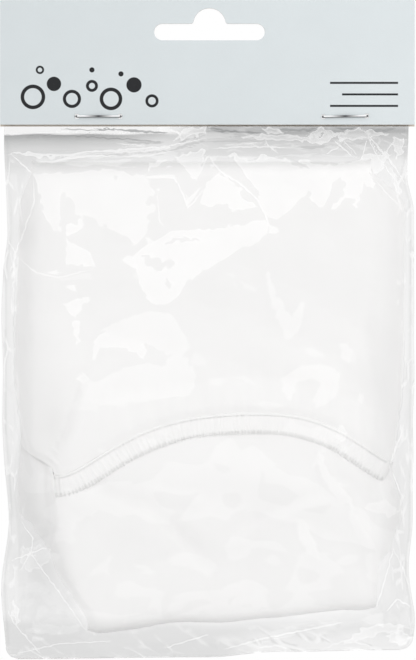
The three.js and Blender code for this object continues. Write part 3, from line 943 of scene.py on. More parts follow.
@dataclass(frozen=True)
class ThreadFinish:
    """White sewing thread with its twist."""

    white: tuple = (0.86, 0.86, 0.855)
    roughness: float = 0.55
    sheen: float = 0.3
    twist: float = 0.11 * MM
    twist_depth: float = 0.02 * MM
    cloud: float = 2 * MM

    def build(self, effects: SharedEffects) -> bpy.types.Material:
        """Makes the thread.

        Args:
            effects: the shared shader groups.

        Returns:
            The material.
        """
        finish = Finish("seam_thread", effects)
        wiring = finish.wiring
        fibre = finish.shared(
            effects.fibre, Place=wiring.place(), Fibre_Size=self.twist, Cloud_Size=self.cloud,
            Contrast=0.08,
        )
        return finish.opaque(
            wiring.scaled(self.white, fibre["Tone"]), Roughness=self.roughness,
            Sheen_Weight=self.sheen, Normal=finish.bump(fibre["Relief"], self.twist_depth),
        )


@dataclass(frozen=True)
class KnitFinish:
    """Flat knitted elastic: ribs across the band, slightly off white."""

    off_white: tuple = (0.87, 0.86, 0.83)
    roughness: float = 0.85
    rib: float = 0.55 * MM
    rib_depth: float = 0.05 * MM

    def build(self, effects: SharedEffects) -> bpy.types.Material:
        """Makes the elastic.

        Args:
            effects: the shared shader groups.

        Returns:
            The material.
        """
        finish = Finish("elastic_knit", effects)
        wiring = finish.wiring
        point = wiring.axes(wiring.place())
        ribs, rows = (
            wiring.sum("SINE", wiring.sum("MULTIPLY", point[axis], 2 * math.pi / self.rib))
            for axis in ("X", "Z")
        )
        knit = wiring.sum("MULTIPLY", ribs, rows)
        return finish.opaque(
            wiring.scaled(self.off_white, wiring.ramp(knit, -1, 1, 0.86, 1.0)),
            Roughness=self.roughness, Normal=finish.bump(knit, self.rib_depth),
        )


@dataclass
class PackForm:
    """The room inside the filled bag, which the film and the folded cap share."""

    # Middle of the bag, its width where it is widest, and what its wandering edges take off
    MIDDLE = -0.4 * MM
    WIDEST = (0.99 + 1.003) / 2
    NARROWED = 0.9965

    top: float
    foot: float
    middle: float
    half_width: float
    card_foot: float
    back_drop: float = 0.5 * MM
    weld: float = 1 * MM
    side_swell: float = 9 * MM
    foot_swell: float = 12 * MM
    head_swell: float = 9 * MM
    head_clearance: float = 0.8 * MM
    corner: float = 3.5 * MM
    layer_pitch: float = 3.15 * MM
    fill_share: float = 2.17
    slack_share: float = 1.06
    crown_share: float = 0.12

    # Side edges: share of the height from the top, share of the half width
    left_edge: tuple = (
        (0, 0.99), (0.13, 0.99), (0.29, 0.974), (0.36, 0.997), (0.6, 0.998), (0.76, 0.971),
        (0.88, 1.003), (1, 0.985),
    )
    right_edge: tuple = (
        (0, 0.98), (0.13, 0.975), (0.2, 0.968), (0.26, 0.999), (0.58, 0.997), (0.78, 0.993),
        (0.85, 0.974), (0.93, 1), (1, 0.985),
    )
    # Foot: share of the width from the left, share of the height
    foot_edge: tuple = ((0, 1), (0.5, 0.997), (0.68, 0.988), (1, 0.985))
    # Depth: share of the height from the top, share of the full depth
    depth: tuple = ((0, 0.75), (0.16, 0.8), (0.38, 1), (0.6, 1), (0.82, 0.86), (1, 0.8))

    @classmethod
    def from_frame(cls) -> PackForm:
        """Takes the bag's place from the frame.

        Returns:
            The room inside the bag.
        """
        low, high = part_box("film_bag")
        card_low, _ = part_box("header_card")
        half_width = (high.x - low.x) / 2 / cls.WIDEST * cls.NARROWED
        return cls(high.z, low.z, cls.MIDDLE, half_width, card_low.z + cls.back_drop)

    @property
    def height(self) -> float:
        """Height of the bag."""
        return self.top - self.foot

    def edges(self, z: Array) -> tuple[Array, Array]:
        """Left and right edge of the bag at a height."""
        down = unit((self.top - z) / self.height)
        left, right = along(self.left_edge, down), along(self.right_edge, down)
        return self.middle - self.half_width * left, self.middle + self.half_width * right

    def foot_at(self, across: Array) -> Array:
        """Height of the bag's foot at a share of its width."""
        return self.top - self.height * along(self.foot_edge, across)

    def body_fullness(self, x: Array, z: Array) -> Array:
        """How full the bag is.

        Args:
            x, z: places on the pack.

        Returns:
            The fullness, from 0 at the sides and the foot to about 1 in the middle.
        """
        left, right = self.edges(z)
        across = unit((x - left) / (right - left))
        from_left = swell(x - left - self.weld, self.side_swell)
        sides = from_left * swell(right - self.weld - x, self.side_swell)
        crowned = 1 - self.crown_share * (2 * across - 1) ** 2
        foot = swell(z - self.foot_at(across), self.foot_swell)
        return sides * crowned * foot * along(self.depth, unit((self.top - z) / self.height))

    def fullness(self, x: Array, z: Array) -> Array:
        """How full the bag is, and empty under the card."""
        head = ease((self.card_foot - self.head_clearance - z) / self.head_swell)
        return head * self.body_fullness(x, z)

    def half_depth(self, x: Array, z: Array) -> Array:
        """Distance from the middle plane to the slack film, below the bag's head."""
        return self.slack_share * self.fill_share * self.layer_pitch * self.body_fullness(x, z)


@dataclass(frozen=True)
class LeaningPatch:
    """Stretch of film that leans back a little, so that it mirrors the light overhead."""

    outline_px: Flat
    strength: float = 0.34
    holes_px: tuple[Flat, ...] = ()


@dataclass(frozen=True)
class Crease:
    """Sharp fold of the film along a line, proud of it or, with a negative height, sunk."""

    route_px: Flat
    height_mm: float
    width_mm: float


@dataclass(frozen=True)
class Streak:
    """Narrow lens of film along a line, as wide as given in its middle."""

    route_px: Flat
    width_px: float = 1.2
    strength: float = 1


def streak_numbers(x: Array, z: Array, streaks: Sequence[Streak]) -> tuple[Array, Array, Array]:
    """How far places are from the nearest streak, in half widths of it.

    Args:
        x, z: places on the pack.
        streaks: the streaks of one kind.

    Returns:
        The distance with its side's sign, the plain distance, and the streak's strength.
    """
    side, near, strength = np.full(x.shape, FAR), np.full(x.shape, FAR), np.zeros(x.shape)
    for streak in streaks:
        apart, share = route_side(x, z, PICTURE.route(streak.route_px))
        taper = 0.12 + 0.88 * swell(np.minimum(share, 1 - share), 0.3)
        apart = np.clip(apart / (streak.width_px * PICTURE.pixel / 2 * taper), -FAR, FAR)
        closer = np.abs(apart) < near
        side = np.where(closer, apart, side)
        near = np.where(closer, np.abs(apart), near)
        strength = np.where(closer, streak.strength, strength)
    return side, near, strength


@dataclass(frozen=True)
class CrumpledZone:
    """Stretch of crushed film, strongest in the middle of its box."""

    box_px: tuple[float, float, float, float]
    cell_mm: float
    height_mm: float
    seed: int
    stretch: float = 1
    turn: float = 0
    fade_px: float = 8

    def relief(self, x: Array, z: Array) -> Array:
        """Crushes the film, less and less towards the sides of the box.

        Args:
            x, z: places on the pack.

        Returns:
            The height at each place.
        """
        x0, y0, x1, y1 = self.box_px
        fade = self.fade_px * PICTURE.pixel
        inside_x = np.minimum(x - PICTURE.x(x0), PICTURE.x(x1) - x)
        inside_z = np.minimum(PICTURE.z(y0) - z, z - PICTURE.z(y1))
        share = ease(inside_x / fade) * ease(inside_z / fade)
        facets = crumple(x, z, self.cell_mm * MM, self.seed, self.stretch, self.turn)
        return self.height_mm * MM * share * facets


@dataclass
class FilmBag:
    """Clear film bag: one surface, closed at its sides and foot, with patches and creases."""

    form: PackForm
    rows_under_card: int = 8
    rows_in_head: int = 56
    rows_below: int = 232
    columns: int = 250
    side_columns: int = 34
    side_length: float = 8 * MM
    head_length: float = 13 * MM
    flat_half: float = 0.17 * MM
    against_cap_share: float = 0.87
    ragged: float = 0.28 * MM
    edge_wander: float = 0.16 * MM
    # Painted shade of the body and of its lower part, a painted glint under the card, and painted
    # shade at the left of the head
    body_painted_shade: float = 0.030
    low_painted_shade: float = 0.025
    glint: float = 0.42
    left_head_painted_shade: float = 0.06
    blur: float = 0.6
    soft: float = 0.12 * MM
    under_panel: float = 0.3 * MM
    # Painted shade where the film is steep and where it is sharply folded
    steep_painted_shade: float = 0.10
    fold_painted_shade: float = 0.25

    # Head of the bag: millimetres below the card's foot, share of the depth reached there
    LEFT_HEAD = ((0, 0), (2.6, 0.01), (3.1, 0.07), (4.6, 0.48), (7.2, 0.86), (8.2, 0.93), (13, 1))
    RIGHT_HEAD = ((0, 0), (0.6, 0), (2.3, 0.34), (4.4, 0.40), (6.4, 0.70), (9.4, 0.96), (13, 1))
    HEAD_CHANGE_PX = (150, 212)
    # Painted shade of the head: millimetres below the card's foot, painted shade there
    LEFT_HEAD_SHADE = (
        (0, 0.02), (2.6, 0.03), (2.9, 0.66), (3.6, 0.60), (5.0, 0.42), (6.8, 0.30), (8.0, 0.24),
        (8.6, 0.18), (11, 0.15), (14, 0.07), (18, 0.01), (200, 0),
    )
    RIGHT_HEAD_SHADE = (
        (0, 0.10), (0.7, 0.50), (2.0, 0.62), (2.8, 0.45), (4.2, 0.38), (6.6, 0.29), (8.6, 0.23),
        (10, 0.12), (13, 0.04), (18, 0), (200, 0),
    )
    # Painted shade of the margins: place in the picture, painted shade of each wall there
    LEFT_PAINTED_SHADE = ((0, 0.075), (17, 0.06), (18, 0.085), (36, 0.075), (60, 0.025), (85, 0), (420, 0))
    RIGHT_PAINTED_SHADE = (
        (0, 0), (352, 0), (369, 0.01), (371.5, 0.045), (390, 0.04), (403, 0.055), (406, 0.045),
        (418, 0.04),
    )
    # Soft painted shades: place in the picture, half width and height in millimetres, painted shade
    # of each wall
    SHADES = (
        (46, 568, 5.5, 14, 0.14), (56, 425, 2.8, 5, 0.07), (24, 160, 3.8, 4.5, 0.08),
        (24, 234, 2.8, 4, 0.06), (396, 520, 3.8, 26, 0.085), (378, 385, 4.5, 17, 0.045),
        (108, 492, 6, 2.5, 0.05), (68, 600, 3.5, 7, 0.09), (280, 620, 16, 4, 0.035),
        (370, 614, 12, 3.5, 0.06),
    )
    # Painted shade over the foot: millimetres above it, painted shade there
    FOOT_PAINTED_SHADE = ((0, 0.24), (8, 0.21), (9.5, 0.13), (13, 0.0), (300, 0))

    # Spans of painted shade: start and length below the card or above the foot, in millimetres
    GLINT_END, LEFT_HEAD_START, LEFT_HEAD_END = (6.5, 2), (7, 2), (12, 4)
    MARGINS_START, BODY_VEIL_END, LOW_VEIL_START = (6, 8), (45, 30), (94, 12)
    RIGHT_FOOT_START = (5, 3)
    # The same across the picture, and the painted glint's middle and half width there
    GLINT_PX, LEFT_HEAD_PX, RIGHT_FOOT_PX = (165, 48), (60, 50), (215, 60)
    # Share of the foot's painted shade that the right part keeps, low down and higher up
    RIGHT_FOOT = (0.35, 0.65)
    # Stretch of the left side with stronger painted shade: height in the picture, half height in
    # millimetres, gain
    SHADED_SIDE = (505, 16, 1.15)

    # Spans of crushed film: start and length in millimetres or in the picture
    UNDER_CARD, HEAD_CRUSH_END, HEAD_CRUSH_PX = (0, 0.5), (5, 5), (170, 30)
    FOOT_CRUSH_END, FOOT_CRUSH_PX = (6, 7), (230, 60)
    SIDE_CRUSH_START, SIDE_CRUSH_END, BODY_CRUSH_START = (8, 8), (3, 3), (14, 8)
    # Share of the crushed film that the left part keeps
    LEFT_HEAD_CRUSH, LEFT_FOOT_CRUSH = 0.10, 0.45

    PATCHES = (
        LeaningPatch((34.5, 173.6, 41.8, 174.9, 60.7, 173.6, 69, 174.3, 83.7, 172.2, 98.3, 171.1,
            100.4, 173.6, 102.5, 170, 117, 170, 123.4, 172.8, 134, 176.4, 144, 175.3, 146.4, 179.5,
            149.6, 185.8, 155.9, 192, 143.3, 203.6, 155.9, 206.7, 153.8, 213, 146.4, 216, 149.6,
            222.4, 144.3, 236, 138, 243.3, 133.9, 246.4, 129.7, 238, 123.4, 236, 118.2, 233.9,
            108.8, 227.6, 105.6, 223.4, 100.4, 227.6, 97.3, 220.3, 90, 217, 82.6, 214.6, 79.5, 217,
            76.4, 213, 74.3, 202.5, 67, 196.2, 62.8, 192, 60.7, 198.3, 60.7, 233.9, 64.9, 237,
            50.2, 225.5, 43.9, 210.9, 41.8, 198.3, 37.7, 185.8), 0.2, holes_px=((113, 181, 116,
            175.5, 119.5, 176, 117, 181.5),)),
        LeaningPatch((66.5, 238, 73.2, 244.3, 90, 252.7, 97.9, 267.4, 79.5, 265.3, 67, 265.3)),
        LeaningPatch((67, 225.5, 72.2, 223.4, 75.3, 227.6, 82.6, 217, 84.7, 225.5, 79.5, 230.7, 67,
            237)),
        LeaningPatch((134, 256, 150, 243, 163, 238, 170, 231, 210, 230, 240, 226, 262, 220, 268,
            223, 267, 233, 258, 242, 235, 252, 217, 264, 203, 271, 186, 283, 181, 293, 170, 303,
            158, 306, 147, 298, 139, 281), holes_px=((140, 256, 150, 255, 163, 260, 180, 262, 160,
            272, 148, 267), (163, 247, 168, 240, 182, 237, 205, 241, 182, 242, 169, 244), (162,
            277, 175, 284, 169, 289))),
        LeaningPatch((173.6, 157.5, 184, 154.8, 206, 149.2, 196.6, 183.7, 188.3, 173.2, 180,
            162.8)),
        LeaningPatch((208, 183.7, 218.5, 173.2, 228.9, 179.5, 241.5, 192, 239.4, 197.3, 249.8,
            202.5, 258.2, 208.8, 245.7, 208.8, 228.9, 213, 231, 202.5, 220.6, 204.6, 203, 208, 200,
            199)),
        LeaningPatch((226.8, 152.7, 237.3, 162.8, 249.8, 181.6, 258.2, 192, 260.3, 204.6, 268.7,
            217.2, 274.9, 221.3, 281.2, 217.2, 291.7, 208.8, 302.1, 196.2, 310.5, 190, 309.5,
            210.9, 312.6, 200.4, 321, 209.8, 327.2, 198.3, 333.5, 181.6, 341.9, 178.5, 346, 183.7,
            341.9, 196.2, 331.4, 206.7, 333.5, 209.8, 344, 200.4, 352.3, 196.2, 354.4, 208.8,
            357.6, 208.8, 359.7, 194.1, 363.9, 183.7, 374.3, 190, 371.2, 177.4, 367, 169, 375.4,
            175.3, 381.6, 169, 385.8, 160.7, 392, 154.4, 381.6, 155.4, 364.9, 154.8, 358.6, 159.6,
            341.9, 164.9, 321, 166.9, 306.3, 160.7, 300, 158.6, 298, 161.7, 310.5, 169, 300, 169,
            291.7, 164.9, 285.4, 159.6, 270.8, 158.2, 260.3, 154.4, 258.2, 160.7, 245.7, 160.7,
            235.2, 154.8)),
        LeaningPatch((391, 168, 396, 176, 401, 190, 398, 203, 394, 186)),
        LeaningPatch((146.4, 172.2, 150.6, 164.9, 165, 158.6, 167, 161.7, 154.8, 167, 147.5,
            173.2)),
        LeaningPatch((166, 167.2, 171.5, 167.2, 171, 168.8, 167, 168.8)),
        LeaningPatch((64, 286, 74, 285, 80, 294)),
        LeaningPatch((63, 304, 74, 302, 83, 296, 90, 301, 81, 307, 76, 319, 68, 311)),
        LeaningPatch((72, 320, 81, 321, 79, 336, 80, 349, 74, 333)),
        LeaningPatch((93, 367, 94.5, 343, 102, 333, 118, 334.5, 133, 338, 143, 343, 147, 351, 143,
            358, 137, 353, 127, 348, 107, 347, 98, 350)),
        LeaningPatch((78, 378, 83, 372, 90, 377, 84, 385)),
        LeaningPatch((334, 432, 340, 425, 347, 430, 343, 441, 336, 440)),
        LeaningPatch((237, 137.7, 262, 135.1, 292, 135.6, 310.5, 137.7, 312.6, 142.9, 287.5, 140.8,
            262, 139.7)),
        LeaningPatch((308, 135.6, 321, 127.2, 338, 133.5, 333.5, 138.7, 319, 145, 311.6, 142.9),
            holes_px=((315, 137, 322, 132, 326, 134, 318, 139),)),
        LeaningPatch((338, 134.5, 358.6, 128, 367, 131, 390, 133.5, 372, 138, 354.4, 139.7, 337,
            139.8)),
        LeaningPatch((260, 127, 271, 127.5, 285, 133, 268, 133.5)),
        LeaningPatch((184, 129.3, 207, 127.2, 206, 133.5, 188, 136.6, 180, 141.8, 180, 136)),
        LeaningPatch((23, 153, 34, 152.8, 43, 155, 69, 156, 55, 158, 32, 157.5, 25, 156)),
        LeaningPatch((391, 138, 404, 137, 403, 150, 397, 160, 394, 148)),
        LeaningPatch((383, 154, 386, 151.5, 389, 155, 392, 160, 386, 158.5)),
        LeaningPatch((208, 166, 212, 166, 212, 169, 209, 169.5)),
        LeaningPatch((340, 645, 362, 628, 384, 622, 404, 625, 398, 631, 380, 632, 362, 640)),
        LeaningPatch((386, 634, 402, 630, 411, 638, 402, 646, 390, 642)),
        LeaningPatch((13, 600, 18, 604, 20, 618, 17, 627, 13, 616)),
        LeaningPatch((22, 545, 30, 548, 41, 544, 52, 549, 50, 560, 40, 567, 28, 571, 21, 560),
            0.12),
        LeaningPatch((364, 505, 373, 502, 386, 498, 391, 505, 401, 513, 390, 515, 376, 511, 370,
            513), 0.12),
        LeaningPatch((100, 330, 147, 311, 172, 315, 190, 345, 180, 360, 150, 345, 120, 338), 0.07),
        LeaningPatch((281, 378, 300, 366, 325, 364, 340, 374, 336, 396, 318, 408, 311, 400, 322,
            384, 312, 377, 297, 382, 290, 400, 284, 396), 0.07),
        LeaningPatch((264, 262, 277, 296, 292, 318, 304, 297, 300, 330, 286, 340, 270, 300), 0.06),
        LeaningPatch((340, 344, 347, 343, 352, 352, 349, 362, 341, 360), 0.1),
        LeaningPatch((358, 394, 363, 396, 362, 404, 358, 402), 0.1),
        LeaningPatch((318, 446, 327, 470, 345, 490, 352, 500, 340, 504, 328, 486, 318, 468), 0.07),
        LeaningPatch((295, 515, 305, 520, 312, 536, 322, 560, 310, 556, 300, 540), 0.08),
        LeaningPatch((350, 498, 356, 516, 372, 540, 377, 551, 362, 545, 349, 520), 0.07),
        LeaningPatch((80, 385, 100, 380, 127, 367, 147, 363, 163, 367, 170, 357, 187, 358, 197,
            377, 190, 395, 150, 400, 105, 405, 85, 400), 0.05),
    )
    BRIGHT = (
        Streak((7, 154.8, 14.6, 152.3, 23, 154.5, 42, 155, 69, 155.8, 88, 152.3, 125, 150.2, 167,
            147, 190, 142, 207, 138.7), 1.5),
        Streak((40, 162, 54, 162.8, 63, 159.6, 88, 156.5, 117, 156), 1.9),
        Streak((104, 153, 146, 152, 174, 147.5), 1.0),
        Streak((110, 158, 150, 156, 172, 151.5), 1.1),
        Streak((117, 144, 146, 146.4), 1.0),
        Streak((167, 129, 178, 132.4, 180, 135.6, 173.6, 141.8), 2.0),
        Streak((11, 154, 24, 166, 34, 175), 1.3),
        Streak((204, 127, 206, 135), 1.4),
        Streak((144, 177, 155, 177.6, 174, 178, 178, 183.6, 188, 206.7, 195, 202, 207, 183.7), 1.6),
        Streak((157, 192, 160, 222, 165, 229), 1.2, 0.5),
        Streak((361.8, 128.2, 381.6, 152.3, 390, 160.7, 406.7, 185.8), 1.6),
        Streak((367, 136.6, 377.5, 158.6, 398.4, 183.7, 398.4, 200), 1.2),
        Streak((395, 140, 387, 150, 386, 156, 375, 175), 1.1),
        Streak((389, 147, 393, 144), 1.0),
        Streak((326, 155, 340, 146), 1.2, 0.7),
        Streak((333.5, 140, 343, 149, 352, 157), 1.4, 0.8),
        Streak((342, 140, 351, 149, 357, 156), 1.0, 0.6),
        Streak((362, 156, 367, 140), 1.3, 0.7),
        Streak((265, 139, 268, 146, 277, 154), 1.2, 0.8),
        Streak((210, 156.5, 214.3, 164.9, 220.6, 172.2, 239.4, 183.7, 256, 198.3, 266.6, 217.2,
            268.7, 225.5, 262.4, 236), 1.9),
        Streak((200, 171, 205, 162, 209, 155.6), 1.4),
        Streak((212, 149, 250, 147, 291, 148), 1.6, 0.55),
        Streak((225, 145, 262, 143), 1.0, 0.5),
        Streak((33, 174, 35, 203, 24, 232, 15, 255, 13, 300), 1.3, 0.7),
        Streak((8, 240, 17, 255, 10, 272), 1.2, 0.7),
        Streak((18, 257, 37, 273, 60, 278, 98, 268), 1.4, 0.4),
        Streak((375, 181, 390, 197, 406, 214), 1.3, 0.5),
        Streak((26, 546, 50, 578, 89, 633), 1.3, 0.6),
        Streak((12, 560, 31, 553, 50, 545), 1.1, 0.8),
        Streak((20, 520, 34, 538, 31, 553, 20, 571), 1.1, 0.8),
        Streak((389, 466, 402, 430), 1.1, 0.6),
        Streak((404, 500, 389, 466, 396, 440), 1.1, 0.6),
        Streak((393, 548, 384, 580, 375, 610), 1.3, 0.7),
        Streak((393, 548, 404, 570, 410, 590), 1.0, 0.7),
        Streak((220, 650, 262, 638, 320, 626, 345, 621), 1.6),
        Streak((165, 647, 188, 640, 210, 633), 1.3),
        Streak((10, 655, 60, 643, 120, 640), 1.1, 0.6),
        Streak((385, 612, 397, 598, 412, 608), 1.4),
        Streak((255, 648, 276, 645, 292, 650), 2.2),
        Streak((320, 650, 345, 640, 372, 646), 1.2),
        Streak((8, 610, 14, 622, 30, 640, 42, 655), 1.2),
    )
    # Painted shade streaks: dark lines painted into the film's colour
    PAINTED_SHADE_STREAKS = (
        Streak((60, 129, 80, 129.6, 98, 130.8), 1.2, 0.8),
        Streak((94, 128, 106, 130.5, 116, 128), 1.0),
        Streak((98, 131, 107, 128, 115, 131), 0.9),
        Streak((112, 129.2, 135, 131, 150, 132, 168, 133), 2.4),
        Streak((6, 135.2, 50, 135.2, 88, 136.5, 105, 138.7, 117, 138.7, 130, 139.7, 148, 141, 165,
            143), 1.6, 0.85),
        Streak((124, 142, 140, 143.4, 162, 143.6), 2.2, 0.6),
        Streak((88, 155, 113, 155.6, 146, 154, 174, 150.2, 205, 145), 1.1, 0.5),
        Streak((172, 150.5, 188, 145, 207, 141), 2.8, 0.5),
        Streak((178, 143, 192, 138.6, 206, 135.5), 1.4, 0.6),
        Streak((207, 128, 223, 129.4), 1.6),
        Streak((212, 131, 240, 132, 262, 133.6), 2.8),
        Streak((272, 129.5, 290, 130, 309, 130.5, 318, 127.5), 3.4, 0.9),
        Streak((334, 127.6, 344, 129.5, 356, 127.5), 2.6, 0.9),
        Streak((368, 128.4, 382, 131, 397, 128.5), 4.0, 0.8),
        Streak((287, 158, 298, 163, 307, 169), 2.4, 0.2),
        Streak((206, 142, 240, 141.5, 262, 142), 2.4, 0.5),
        Streak((296, 147.5, 312, 148, 330, 146), 3.6, 0.5),
        Streak((345, 143, 356, 144, 366, 143), 3.0, 0.45),
        Streak((17, 258, 14, 320, 14.6, 380, 21.8, 434, 16.6, 492, 18.7, 511, 33, 525.6, 34, 546),
            1.5, 0.22),
        Streak((367, 169, 388, 194, 405.7, 215, 405.7, 262, 405, 330), 1.4, 0.1),
        Streak((405, 330, 402.5, 392, 396, 442, 389, 463, 394, 478, 401.5, 503, 402.5, 515, 393,
            546), 1.4, 0.24),
        Streak((30, 556, 52, 586, 88, 633), 1.2, 0.08),
        Streak((255, 623, 315, 621, 375, 618), 2.6, 0.12),
        Streak((165, 650, 188, 643, 212, 636), 1.4, 0.12),
    )
    CREASES = (
        Crease((144, 181, 174, 179, 188, 208, 207, 183), 0.3, 0.9),
        Crease((157, 191, 162, 224, 168, 231), 0.14, 0.7),
        Crease((360, 127, 387, 159, 404, 186), 0.3, 1.0),
        Crease((375, 178, 390, 194, 406, 214), -0.3, 1.2),
        Crease((406, 214, 404, 262, 405, 330, 403, 410), -0.35, 1.2),
        Crease((9, 154, 33, 174, 38, 200, 17, 255), 0.3, 1.2),
        Crease((17, 255, 15, 320, 15, 388, 21, 426, 35, 480), -0.4, 1.2),
        Crease((8, 240, 17, 255, 10, 272), 0.25, 1.0),
        Crease((20, 253, 45, 277, 72, 276, 98, 268), 0.2, 1.4),
        Crease((26, 546, 50, 578, 89, 633), 0.3, 1.1),
        Crease((20, 520, 34, 538, 31, 553, 20, 571), 0.3, 1.0),
        Crease((12, 560, 31, 553, 50, 545), -0.25, 1.0),
        Crease((389, 466, 402, 430), 0.25, 1.0),
        Crease((389, 466, 404, 500), 0.25, 1.0),
        Crease((393, 548, 384, 580, 375, 610), 0.28, 1.0),
        Crease((393, 548, 404, 570, 410, 590), -0.28, 1.0),
        Crease((377, 545, 377, 585), -0.2, 1.0),
        Crease((10, 657, 60, 645, 120, 642, 165, 648), -0.35, 1.6),
        Crease((165, 647, 188, 640, 210, 633), 0.35, 1.1),
        Crease((220, 650, 262, 638, 320, 625, 345, 620), 0.35, 1.1),
        Crease((255, 622, 315, 620, 375, 617), -0.35, 2.2),
        Crease((254, 621, 277, 632), 0.25, 0.9),
        Crease((385, 612, 397, 598, 412, 608), 0.3, 1.2),
        Crease((8, 153, 100, 152, 175, 147), 0.22, 0.9),
    )
    ZONES = (
        CrumpledZone((215, 130, 414, 162), 2.6, 0.75, 21, 2.2, -0.35, 10),
        CrumpledZone((4, 148, 175, 176), 2.2, 0.2, 22, 3.2, 0.05, 8),
        CrumpledZone((160, 124, 240, 165), 2.0, 0.55, 23, 2.6, 1.35, 10),
        CrumpledZone((300, 606, 416, 655), 2.4, 0.75, 24, 1.8, 0.35, 12),
        CrumpledZone((4, 580, 60, 640), 2.2, 0.6, 25, 1.8, 1.2, 12),
        CrumpledZone((1, 160, 26, 640), 2.0, 0.28, 26, 5.0, 1.5, 7),
        CrumpledZone((394, 160, 417, 640), 1.8, 0.26, 27, 5.0, 1.55, 6),
        CrumpledZone((30, 160, 400, 640), 13, 0.55, 28, 1.3, -0.5, 30),
        CrumpledZone((60, 205, 300, 320), 5.0, 0.35, 29, 1.6, -0.6, 30),
    )

    @staticmethod
    def _patch_distance(patch: LeaningPatch, x: Array, z: Array) -> Array:
        """Distance to a patch.

        Args:
            patch: the patch.
            x, z: places on the pack.

        Returns:
            The distance, negative on the patch and positive in its holes.
        """
        apart = outline_distance(x, z, PICTURE.route(patch.outline_px))
        for hole in patch.holes_px:
            apart = np.maximum(apart, -outline_distance(x, z, PICTURE.route(hole)))
        return apart

    def _fold_numbers(self, x: Array, z: Array) -> dict[str, Array]:
        """Works out the numbers that the film's finish reads.

        Args:
            x, z: places on the front wall.

        Returns:
            The numbers of each name.
        """
        warp_x = x + self.ragged * ripple(x, z, 2.6 * MM, 5)
        warp_z = z + self.ragged * ripple(x, z, 2.4 * MM, 6)
        apart = np.array([self._patch_distance(patch, warp_x, warp_z) for patch in self.PATCHES])
        strengths = np.array([patch.strength for patch in self.PATCHES])
        numbers = {"patch": apart.min(0), "patch_strength": strengths[apart.argmin(0)]}
        near_x = x + 0.35 * self.ragged * ripple(x, z, 2.6 * MM, 7)
        near_z = z + 0.35 * self.ragged * ripple(x, z, 2.4 * MM, 8)
        for name, streaks in (("bright", self.BRIGHT), ("dull", self.PAINTED_SHADE_STREAKS)):
            read = zip(("side", "near", "strength"), streak_numbers(near_x, near_z, streaks))
            numbers |= {f"{name}_{key}": value for key, value in read}
        return numbers | self._crush_shares(x, z)

    def _crush_shares(self, x: Array, z: Array) -> dict[str, Array]:
        """Shares out the kinds of crushed film.

        Args:
            x, z: places on either wall.

        Returns:
            How much each kind shows, from 0 to 1.
        """
        left, right = self.form.edges(z)
        margin = np.minimum(x - left, right - x)
        below = self.form.card_foot - z
        above = z - self.form.foot_at(0.5)
        to_right = PICTURE.rise_across(x, self.HEAD_CRUSH_PX)
        head = 1 - rise(below, self.HEAD_CRUSH_END, MM)
        head = head * mix(self.LEFT_HEAD_CRUSH, 1.0, to_right) * rise(below, self.UNDER_CARD, MM)
        foot = 1 - rise(above, self.FOOT_CRUSH_END, MM)
        foot = foot * mix(self.LEFT_FOOT_CRUSH, 1.0, PICTURE.rise_across(x, self.FOOT_CRUSH_PX))
        inner = (1 - rise(margin, self.SIDE_CRUSH_END, MM)) * (1 - foot)
        side = inner * rise(below, self.SIDE_CRUSH_START, MM)
        body = (1 - side) * (1 - foot) * rise(below, self.BODY_CRUSH_START, MM)
        return {"side_crush": side, "foot_crush": foot, "head_crush": head, "body_crush": body}

    def _front_relief(self, x: Array, z: Array) -> Array:
        """Raises the front wall's creases and crushed zones.

        Args:
            x, z: places on the wall.

        Returns:
            The height over the slack film.
        """
        relief = 0.03 * MM * ripple(x, z, 9 * MM, 12)
        for crease in self.CREASES:
            apart, share = route_side(x, z, PICTURE.route(crease.route_px))
            taper = swell(np.minimum(share, 1 - share) + 0.03, 0.2)
            beside = unit(1 - np.abs(apart) / (crease.width_mm * MM))
            relief = relief + crease.height_mm * MM * taper * beside
        for zone in self.ZONES:
            relief = relief + zone.relief(x, z)
        return relief

    def _back_relief(self, x: Array, z: Array) -> Array:
        """Crumples the back wall, most at its head and its sides.

        Args:
            x, z: places on the wall.

        Returns:
            The height over the slack film.
        """
        relief = 0.05 * MM * ripple(x, z, 8 * MM, 31)
        relief = relief + 0.55 * MM * crumple(x, z, 12 * MM, 32, 1.5, 0.5)
        head = ease((z - self.form.card_foot + 14 * MM) / (6 * MM))
        margin = self.form.half_width - np.abs(x - self.form.middle)
        near_edge = np.maximum(head, 1 - ease(margin / (12 * MM)))
        return relief + 0.45 * MM * near_edge * crumple(x, z, 3.2 * MM, 33, 2.2, 1.3)

    def _grid(self) -> tuple[Array, Array]:
        """Lays out the front wall's grid, finer at its sides and in its head.

        Returns:
            X and z for each row and column.
        """
        form = self.form
        side_share = self.side_length / (2 * form.half_width)
        side = side_share * np.arange(self.side_columns) / self.side_columns
        middle = np.linspace(side_share, 1 - side_share, self.columns - 2 * self.side_columns + 1)
        across = np.concatenate([side, middle, 1 - side[::-1]])[None, :]
        foot = form.foot_at(across)
        levels = (form.top, form.card_foot, form.card_foot - self.head_length, foot)
        counts = (self.rows_under_card, self.rows_in_head, self.rows_below)
        rows = []
        for start, end, count in zip(levels, levels[1:], counts):
            share = (np.arange(count) / count)[:, None]
            rows.append(np.broadcast_to(mix(start, end, share), (count, across.size)))
        z = np.vstack([*rows, foot])
        left, right = form.edges(z)
        above = unit((z - foot) / form.corner)
        corner = form.corner * (1 - np.sqrt(1 - (1 - above) ** 2))
        still = np.zeros_like(z)
        left_wander = self.edge_wander * ripple(still, z, 26 * MM, 41)
        right_wander = self.edge_wander * ripple(still, z, 21 * MM, 42)
        return mix(left + corner + left_wander, right - corner + right_wander, across), z

